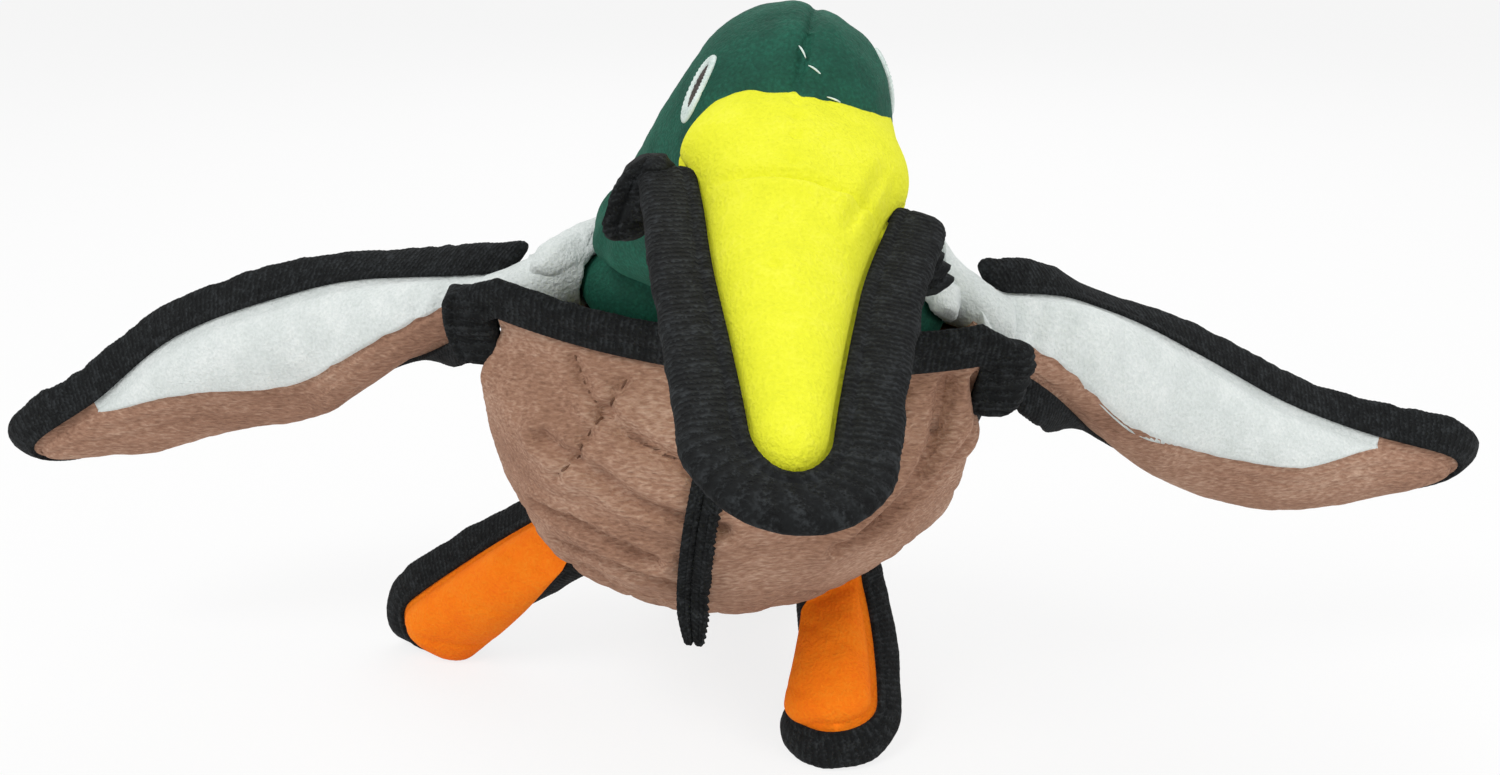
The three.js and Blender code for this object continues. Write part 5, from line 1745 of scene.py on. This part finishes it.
@dataclass
class Wing:
    """One wing: a brown pad, its white lining and the binding round it."""

    shop: Workshop
    name: str
    width: float
    spine: tuple[tuple[float, float, float], ...]
    across: tuple[tuple[float, tuple[float, float, float]], ...]
    top_sign: float
    curl_from: float
    top_rise: float = 7.0
    lining_rise: float = 12.0
    curl: float = 0.5
    width_shares: Pairs = ((0, 0.34), (0.19, 0.62), (0.42, 1), (0.65, 0.84), (0.87, 0.42), (1, 0.3))
    rise_shares: Pairs = ((0, 0), (0.04, 0.22), (0.15, 0.75), (0.42, 1), (0.7, 0.8), (0.87, 0.5), (1, 0.25))
    white_shares: Pairs = ((0, 0.06), (0.2, -0.04), (0.33, 0.0), (0.49, 0.07), (0.63, 0.27), (0.76, 0.54),
                           (0.84, 0.86), (0.9, 1.3))
    stuffed_low: float = 4.5
    lead_fold: float = 45.0
    bulge: float = 2.2
    hem: float = 2.6
    creases: tuple[tuple[float, float, float], ...] = (
        (10, 0.5, 1.4), (17, 0.4, 1.2), (26, 0.5, 1.0), (39, 0.7, 0.7), (64, 0.9, 0.6))

    def __post_init__(self) -> None:
        """Lays out the wing's pattern along its spine."""
        spine = Arc(smooth_curve([Vector(place) for place in self.spine]))
        self.length = spine.length

        def half_width(along: float) -> float:
            """Half-width of the seam line."""
            return self.width / 2 * through(self.width_shares, along / self.length)

        def curl_at(along: float) -> float:
            """How far the sides are turned up, in radians."""
            begun = smoothstep(along, self.curl_from, self.curl_from + 45)
            return self.curl * begun * (1 - smoothstep(along / self.length, 0.7, 1))

        self.pad = Pad(
            length=self.length, rounded_end=self.length * 0.13, half_width=half_width,
            upper_rise=lambda along: self.top_rise * through(self.rise_shares, along / self.length),
            lower_rise=lambda along: self.lining_rise * through(self.rise_shares, along / self.length),
            place=spine_placer(spine, turning(self.across), self.top_sign, half_width, curl_at),
            start=-7.0, ribbon=Ribbon(wobble=0.9), fold=self.fold, fuller=self.fuller,
        )

    def fold(self, along: float, share: float) -> float:
        """How far the binding is turned to the brown side, from its place along and across.

        Args:
            along: The place along the wing.
            share: Share of the half-width.

        Returns:
            The turn in radians.
        """
        at = along / self.length
        leading = self.lead_fold * smoothstep(at, 0.05, 0.4)
        trailing = 35 + 43 * smoothstep(at, 0.06, 0.3) * (1 - smoothstep(at, 0.8, 0.95))
        return math.radians(lerp(trailing, leading, smoothstep(share, -0.7, 0.7)))

    def fuller(self, side: int, along: float, share: float) -> float:
        """How far the brown lining bulges over its binding.

        Args:
            side: 1 for the brown top, -1 for the lining.
            along: The place along the wing.
            share: Share of the half-width.

        Returns:
            The added half-width.
        """
        if side > 0 or share >= 0:
            return 0.0
        at = along / self.length
        return self.bulge * smoothstep(at, 0.08, 0.3) * (1 - smoothstep(at, 0.8, 0.95))

    def colour_line(self, along: float) -> float:
        """Where the white lining ends, as a place across the wing."""
        return self.pad.half_width(along) * through(self.white_shares, along / self.length)

    def top_relief(self, along: float, across: float) -> float:
        """Quilted feather lines and lumps on the brown top.

        Args:
            along: The place along.
            across: The place across.

        Returns:
            The height over the panel.
        """
        place = Vector((along, across, 3))
        height = rumple(place, (0.8, 20), (0.3, 6), (0.14, 1.8))
        for line in (-0.34, 0.34):
            off = across - line * self.pad.half_width(along)
            height -= 0.8 * groove(off, 1.4) * smoothstep(along, 12, 30)
        return height

    def lining_relief(self, along: float, across: float) -> float:
        """The seam at the colour line and the long creases below it.

        Args:
            along: The place along.
            across: The place across.

        Returns:
            The height over the panel.
        """
        place = Vector((along, across, -5))
        off = across - self.colour_line(along)
        height = rumple(place, (0.7, 18), (0.35, 6), (0.14, 1.8)) - 1.1 * groove(off, 1.5)
        for below, depth in ((4.5, 0.9), (8.5, 0.7)):
            line = off + below + 1.2 * lumps(Vector((along, 0, below)), 22)
            height -= depth * groove(line, 1.3) * smoothstep(along, 14, 40)
        at, share = along / self.length, across / max(self.pad.half_width(along), 1e-3)
        low = self.stuffed_low * groove(share + 0.62, 0.42) * smoothstep(at, 0.12, 0.4)
        return height + low * (1 - smoothstep(at, 0.75, 0.92)) - self.hem * smoothstep(off, 0.5, 4)

    def white_relief(self, along: float, across: float) -> float:
        """Soft creases of the white lining, and its edge turned down at the colour line.

        Args:
            along: The place along.
            across: The place across.

        Returns:
            The height over the panel.
        """
        off = across - self.colour_line(along)
        place = Vector((along, across, -5))
        height = self.lining_relief(along, across) + groove(off, 1.5) + self.hem * smoothstep(off, 0.5, 4)
        for stop, lean, depth in self.creases:
            height -= depth * groove(along - stop - lean * across + 2 * lumps(place, 14), 2.6)
        return height - 1.5 * groove(off, 0.9)

    def build(self) -> None:
        """Builds the pad, the white lining and the binding."""
        pad, body = self.pad, f"wing_{self.name}"
        root = pad.place(0, 0, 0)
        outward = (pad.place(1, 0, 0) - root).normalized()
        bend = Bend("body", body, root - outward * 5, root + outward * 2)
        panels = pad.skin(54, self.top_relief, self.lining_relief, per=1.3)
        skin = self.shop.piece(f"{body}_pad", panels, BROWN, bend)
        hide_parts(f"wing_top_{self.name}", f"wing_lining_brown_{self.name}",
                    f"wing_stuffing_{self.name}")
        rows = []
        for along in pad.rows(1.3):
            share = self.colour_line(along) / max(pad.width_at(along), 1e-3)
            if share > 0.97:
                break
            low = math.asin(max(share, -0.97))
            outer, inner = (pad.panel_row(along, -1, low, QUARTER, 44, self.white_relief, lift)
                            for lift in (0.3, -0.4))
            rows.append(outer + inner[::-1])
        lining = self.shop.piece(f"{body}_white_lining", rows, WHITE, bend)
        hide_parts(f"wing_lining_white_{self.name}")
        tape = self.shop.tape(f"{body}_tape_ribbed", pad.ribbon, pad.tape_frames(), body)
        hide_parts(f"wing_tape_{self.name}")


@dataclass
class Limb:
    """A foot or the tail: a small stuffed pad with its binding, standing on the floor."""

    shop: Workshop
    name: str
    nodes: tuple[str, str, str, str]
    root: Vector
    leave: Vector
    end: Vector
    across: Callable[[float], Vector]
    top_sign: float
    curl: float
    width: float
    width_shares: Pairs
    rise: float
    rounded_end: float
    finish: Finish
    floor: float = -147.0
    press: float = 0.5
    settlings: int = 5
    start: float = -9.0
    rise_shares: Pairs = ((0, 0), (0.08, 0.35), (0.3, 0.9), (0.6, 1), (1, 0.8))
    outer_fold: float = 0.0
    inner_fold: float = 0.0
    inner_opens: float = 0.0
    fuller_inside: float = 0.0
    tape_from: float = 2 * TAPE_STAND_OFF

    def fold(self, share_along: float, share: float) -> float:
        """How far the binding is turned to the far side, from its place along and across.

        Args:
            share_along: Share of the length.
            share: Share of the half-width.

        Returns:
            The turn in radians.
        """
        inner = lerp(self.inner_fold, self.outer_fold, self.inner_opens * smoothstep(share_along, 0.6, 0.9))
        return math.radians(lerp(inner, self.outer_fold, smoothstep(share, -0.6, 0.6)))

    def pad_for(self, lift: float) -> Pad:
        """The limb's pattern with its end lifted.

        Args:
            lift: How far the end is lifted.

        Returns:
            The pattern.
        """
        root, end = self.root, self.end + Vector((0, 0, lift))
        leave = self.leave if self.curl == 0 else self.leave + Vector((0, 0, 0.25 * lift))
        spine = Arc(lambda t: root * (1 - t) ** 2 + leave * (2 * t * (1 - t)) + end * t**2)

        def half_width(along: float) -> float:
            """Half-width of the seam line."""
            return self.width / 2 * through(self.width_shares, along / spine.length)

        def rise(along: float) -> float:
            """Height of each panel's crown."""
            return self.rise * through(self.rise_shares, along / spine.length)

        def curl_at(along: float) -> float:
            """How far the sides are turned up, in radians."""
            return self.curl * smoothstep(along, 0, spine.length)

        def fuller(side: int, along: float, share: float) -> float:
            """How far the near panel bulges over its binding."""
            inside = side < 0 and share < 0
            return self.fuller_inside * smoothstep(along / spine.length, -0.1, 0.05) if inside else 0.0

        def fold(along: float, share: float) -> float:
            """How far the binding is turned, in radians."""
            return self.fold(along / spine.length, share)

        return Pad(
            length=spine.length, rounded_end=self.rounded_end, half_width=half_width, upper_rise=rise,
            lower_rise=rise, place=spine_placer(spine, self.across, self.top_sign, half_width, curl_at),
            start=self.start, tape_from=self.tape_from, ribbon=Ribbon(wobble=0.8), fuller=fuller, fold=fold,
        )

    def lowest(self, pad: Pad) -> float:
        """Height of the lowest point of the binding.

        Args:
            pad: The limb's pattern.

        Returns:
            The height.
        """
        edge = TAPE_STAND_OFF + TAPE_WIDTH - 0.4
        return min(
            pad.beyond(along, side * pad.width_at(along), pad.outward(along, side), edge, up).z
            for along in pad.rows(2.5) if along >= pad.tape_from
            for side in (1.0, -1.0) for up in (-TAPE_HALF, TAPE_HALF)
        )

    def relief(self, along: float, across: float) -> float:
        """Lumps and a diagonal stitched crease.

        Args:
            along: The place along.
            across: The place across.

        Returns:
            The height over the panel.
        """
        place = Vector((along, across, 1))
        height = rumple(place, (0.7, 13), (0.3, 5), (0.12, 1.7))
        for stop in (18, 44, 70):
            height -= 0.7 * groove(along - stop - 0.8 * across, 1.5)
        return height

    def build(self) -> None:
        """Settles the limb on the floor and builds its pieces."""
        lift = 0.0
        for _ in range(self.settlings):
            lift += self.floor - self.press - self.lowest(self.pad_for(lift))
        pad = self.pad_for(lift)
        root = pad.place(0, 0, 0)
        outward = (pad.place(1, 0, 0) - root).normalized()
        bend = Bend("body", self.name, root - outward * 3, root + outward * 1.5)
        rows = pad.skin(36, self.relief, self.relief, per=1.2)
        for row in rows:
            for place in row:
                place.z = max(place.z, self.floor + 0.1)
        skin = self.shop.piece(f"{self.name}_pad", rows, self.finish, bend)
        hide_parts(self.nodes[0], self.nodes[1], self.nodes[3])
        tape = self.shop.tape(f"{self.name}_tape_ribbed", pad.ribbon, pad.tape_frames(), self.name,
                              self.floor)
        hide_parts(self.nodes[2])


def limbs(shop: Workshop, body: Body) -> list[Limb]:
    """Both feet and the tail.

    Args:
        shop: Where pieces are made.
        body: The body that they are sewn to.

    Returns:
        The limbs, ready to build.
    """
    made = []
    station = 104.0
    sewn = replace(body, belly_depth=59.0, fullness=(0.38, 0.0), skew=15.0, bulge=0.0, lean_right=0.0,
                   slack_end=0.9)
    poses = (
        ("left", 1, math.radians(50), (30, 8, -130), (0.97, -0.15, 0.1), -1.0, (42.0, 80.0, 1.0)),
        ("right", -1, math.pi - math.radians(32), (-117, 76, -137), (-0.74, 0.1, 0.67), 1.0,
         (25.0, 82.0, 0.0)),
    )
    for side, sign, angle, toe, across_end, top_sign, folds in poses:
        along = sewn.belly(station + 1, angle) - sewn.belly(station - 1, angle)
        around = sewn.belly(station, angle - 0.05) - sewn.belly(station, angle + 0.05)
        away = along.cross(around).normalized()
        root = sewn.belly(station, angle) + away * 0.55
        toe_place = Vector(toe)
        root_across = tuple(around.normalized() * sign)
        made.append(Limb(
            shop=shop, name=f"foot_{side}",
            nodes=(f"foot_top_{side}", f"foot_bottom_{side}", f"foot_tape_{side}", f"foot_stuffing_{side}"),
            root=root, leave=root + away * 9 + (toe_place - root) * 0.25, end=toe_place,
            across=turning(((0, root_across), (0.75, across_end), (1, across_end))), top_sign=top_sign,
            curl=0.3, width=23.0, width_shares=((0, 0.62), (0.5, 0.85), (0.85, 1), (1, 0.92)), rise=8.0,
            rounded_end=9.0, finish=ORANGE, outer_fold=folds[0], inner_fold=folds[1], inner_opens=folds[2],
            fuller_inside=5.5, tape_from=-7.0,
        ))
    root = body.at(0, 158.9, 0)
    made.append(Limb(
        shop=shop, name="tail", nodes=("tail_top", "tail_bottom", "tail_tape", "tail_stuffing"), root=root,
        leave=root + body.tailward * 15.5, end=root + body.tailward * 31,
        across=lambda _share: body.leftward, top_sign=1.0, curl=0.0, width=27.0,
        width_shares=((0, 1), (1, 0.9)), rise=6.0, rounded_end=10.0, finish=BROWN,
    ))
    return made


WINGS = {
    "right": dict(
        width=46.0, top_sign=1.0, curl_from=0.0,
        spine=((-71, 22, 6), (-101, 36, -6), (-138, 55, -23), (-179, 64, -36), (-216, 68, -54),
               (-240, 69, -63)),
        across=((0, (0.5, 0.1, 0.8)), (0.25, (0.2, -0.3, 0.9)), (0.5, (0, -0.6, 0.8)),
                (1, (-0.1, -0.6, 0.8))),
    ),
    "left": dict(
        width=51.0, top_sign=-1.0, curl_from=10.0,
        spine=((78.5, 15, -2), (105, 28, -15.5), (145, 48, -45), (180, 54, -60.5), (216, 58, -65),
               (240, 58, -65)),
        width_shares=((0, 0.42), (0.19, 0.72), (0.42, 0.97), (0.65, 0.8), (0.87, 0.42), (1, 0.3)),
        white_shares=((0, -0.35), (0.08, -0.55), (0.16, -0.68), (0.25, -0.58), (0.4, -0.14), (0.56, 0.16),
                      (0.72, 0.4), (0.83, 0.9), (0.89, 1.2)),
        stuffed_low=2.0, lead_fold=48.0,
        across=((0, (-0.35, 0.35, 0.85)), (0.25, (-0.1, -0.05, 0.97)), (0.5, (0, -0.42, 0.9)),
                (1, (0.1, -0.5, 0.85))),
    ),
}


@dataclass
class Studio:
    """Pale floor, soft lamps and the camera of the photograph.

    Lamps are given by name, place, size and power, in metres and watts.
    """

    camera_place: tuple[float, float, float] = (3.6, -408.85, 133.91)
    look_down: float = 70.0
    lens: float = 36.0
    sensor: float = 36.0
    sees_from: float = 0.01
    sees_to: float = 50.0
    sky: float = 0.62
    floor_grey: float = 0.9
    floor_glow: float = 0.8
    floor_corners: tuple[tuple[float, float, float], ...] = ((-6, -6, 0), (6, -6, 0), (6, 9, 0), (-6, 9, 0))
    lit: tuple[float, float, float] = (0, 0, 0.12)
    lamps: tuple[tuple[str, tuple[float, float, float], float, float], ...] = (
        ("key", (-0.75, -0.75, 1.35), 0.8, 10.5), ("fill", (1.0, -0.5, 0.8), 0.9, 4.0),
        ("back", (0.1, 1.1, 1.1), 1.2, 4.5),
    )

    def build(self, shop: Workshop) -> None:
        """Adds the floor, the lamps, the sky and the camera.

        Args:
            shop: What knows where the shoulders are.
        """
        scene = bpy.context.scene
        scene.view_settings.view_transform = "Standard"
        self._floor()
        self._sky(scene)
        for name, place, size, power in self.lamps:
            self._lamp(name, Vector(place), size, power)
        data = bpy.data.cameras.new("camera")
        data.lens, data.sensor_width, data.sensor_fit = self.lens, self.sensor, "HORIZONTAL"
        data.clip_start, data.clip_end = self.sees_from, self.sees_to
        camera = bpy.data.objects.new("camera", data)
        camera.location = shop.to_frame(Vector(self.camera_place))
        camera.rotation_euler = (math.radians(self.look_down), 0.0, 0.0)
        bpy.context.collection.objects.link(camera)
        scene.camera = camera

    def _floor(self) -> None:
        """Adds the floor that the duck stands on."""
        mesh = bpy.data.meshes.new("floor")
        mesh.from_pydata(self.floor_corners, [], [(0, 1, 2, 3)])
        floor = bpy.data.objects.new("floor", mesh)
        mesh.materials.append(self._floor_material())
        bpy.context.collection.objects.link(floor)

    def _lamp(self, name: str, place: Vector, size: float, power: float) -> None:
        """Adds a round soft lamp turned toward the duck.

        Args:
            name: Its name.
            place: Where it is.
            size: How wide it is.
            power: How strong it is.
        """
        data = bpy.data.lights.new(name, "AREA")
        data.shape, data.size, data.energy = "DISK", size, power
        lamp = bpy.data.objects.new(name, data)
        lamp.location = place
        lamp.rotation_euler = (Vector(self.lit) - place).to_track_quat("-Z", "Y").to_euler()
        bpy.context.collection.objects.link(lamp)

    def _floor_material(self) -> bpy.types.Material:
        """A pale floor that shows nearly white to the camera and keeps the shadow.

        Returns:
            Its material.
        """
        material = bpy.data.materials.new("pale_floor")
        tree = NodeTree(material)
        tree.nodes.clear()
        path = tree.add("LightPath")
        seen = tree.math("ADD", path.outputs["Is Camera Ray"], path.outputs["Is Glossy Ray"])
        seen.node.use_clamp = True
        cloth = tree.add("BsdfDiffuse", Color=(self.floor_grey, self.floor_grey, self.floor_grey, 1))
        glow = tree.add("Emission")
        mix = tree.add("MixShader")
        shares = (tree.math("MULTIPLY", seen, self.floor_glow), cloth.outputs[0], glow.outputs[0])
        for socket, value in zip(mix.inputs, shares):
            tree.feed(socket, value)
        tree.add("OutputMaterial", Surface=mix.outputs[0])
        return material

    def _sky(self, scene: bpy.types.Scene) -> None:
        """White to the camera, and a plain soft light for everything else.

        Args:
            scene: The scene that it lights.
        """
        world = bpy.data.worlds.new("sky")
        scene.world = world
        tree = NodeTree(world)
        back = tree.nodes["Background"]
        seen = tree.add("LightPath").outputs["Is Camera Ray"]
        tree.feed(back.inputs["Color"], (1, 1, 1, 1))
        tree.feed(back.inputs["Strength"], tree.math("MULTIPLY_ADD", seen, 1 - self.sky, self.sky))


def main(packed: dict) -> None:
    """Builds the duck and its studio.
    """
    shop = Workshop(packed)
    Studio().build(shop)
    body = Body(shop)
    body.build()
    Head(shop, body).build()
    for name, pose in WINGS.items():
        Wing(shop, name, **pose).build()
    for limb in limbs(shop, body):
        limb.build()


if __name__ == "__main__":
    main(frame)
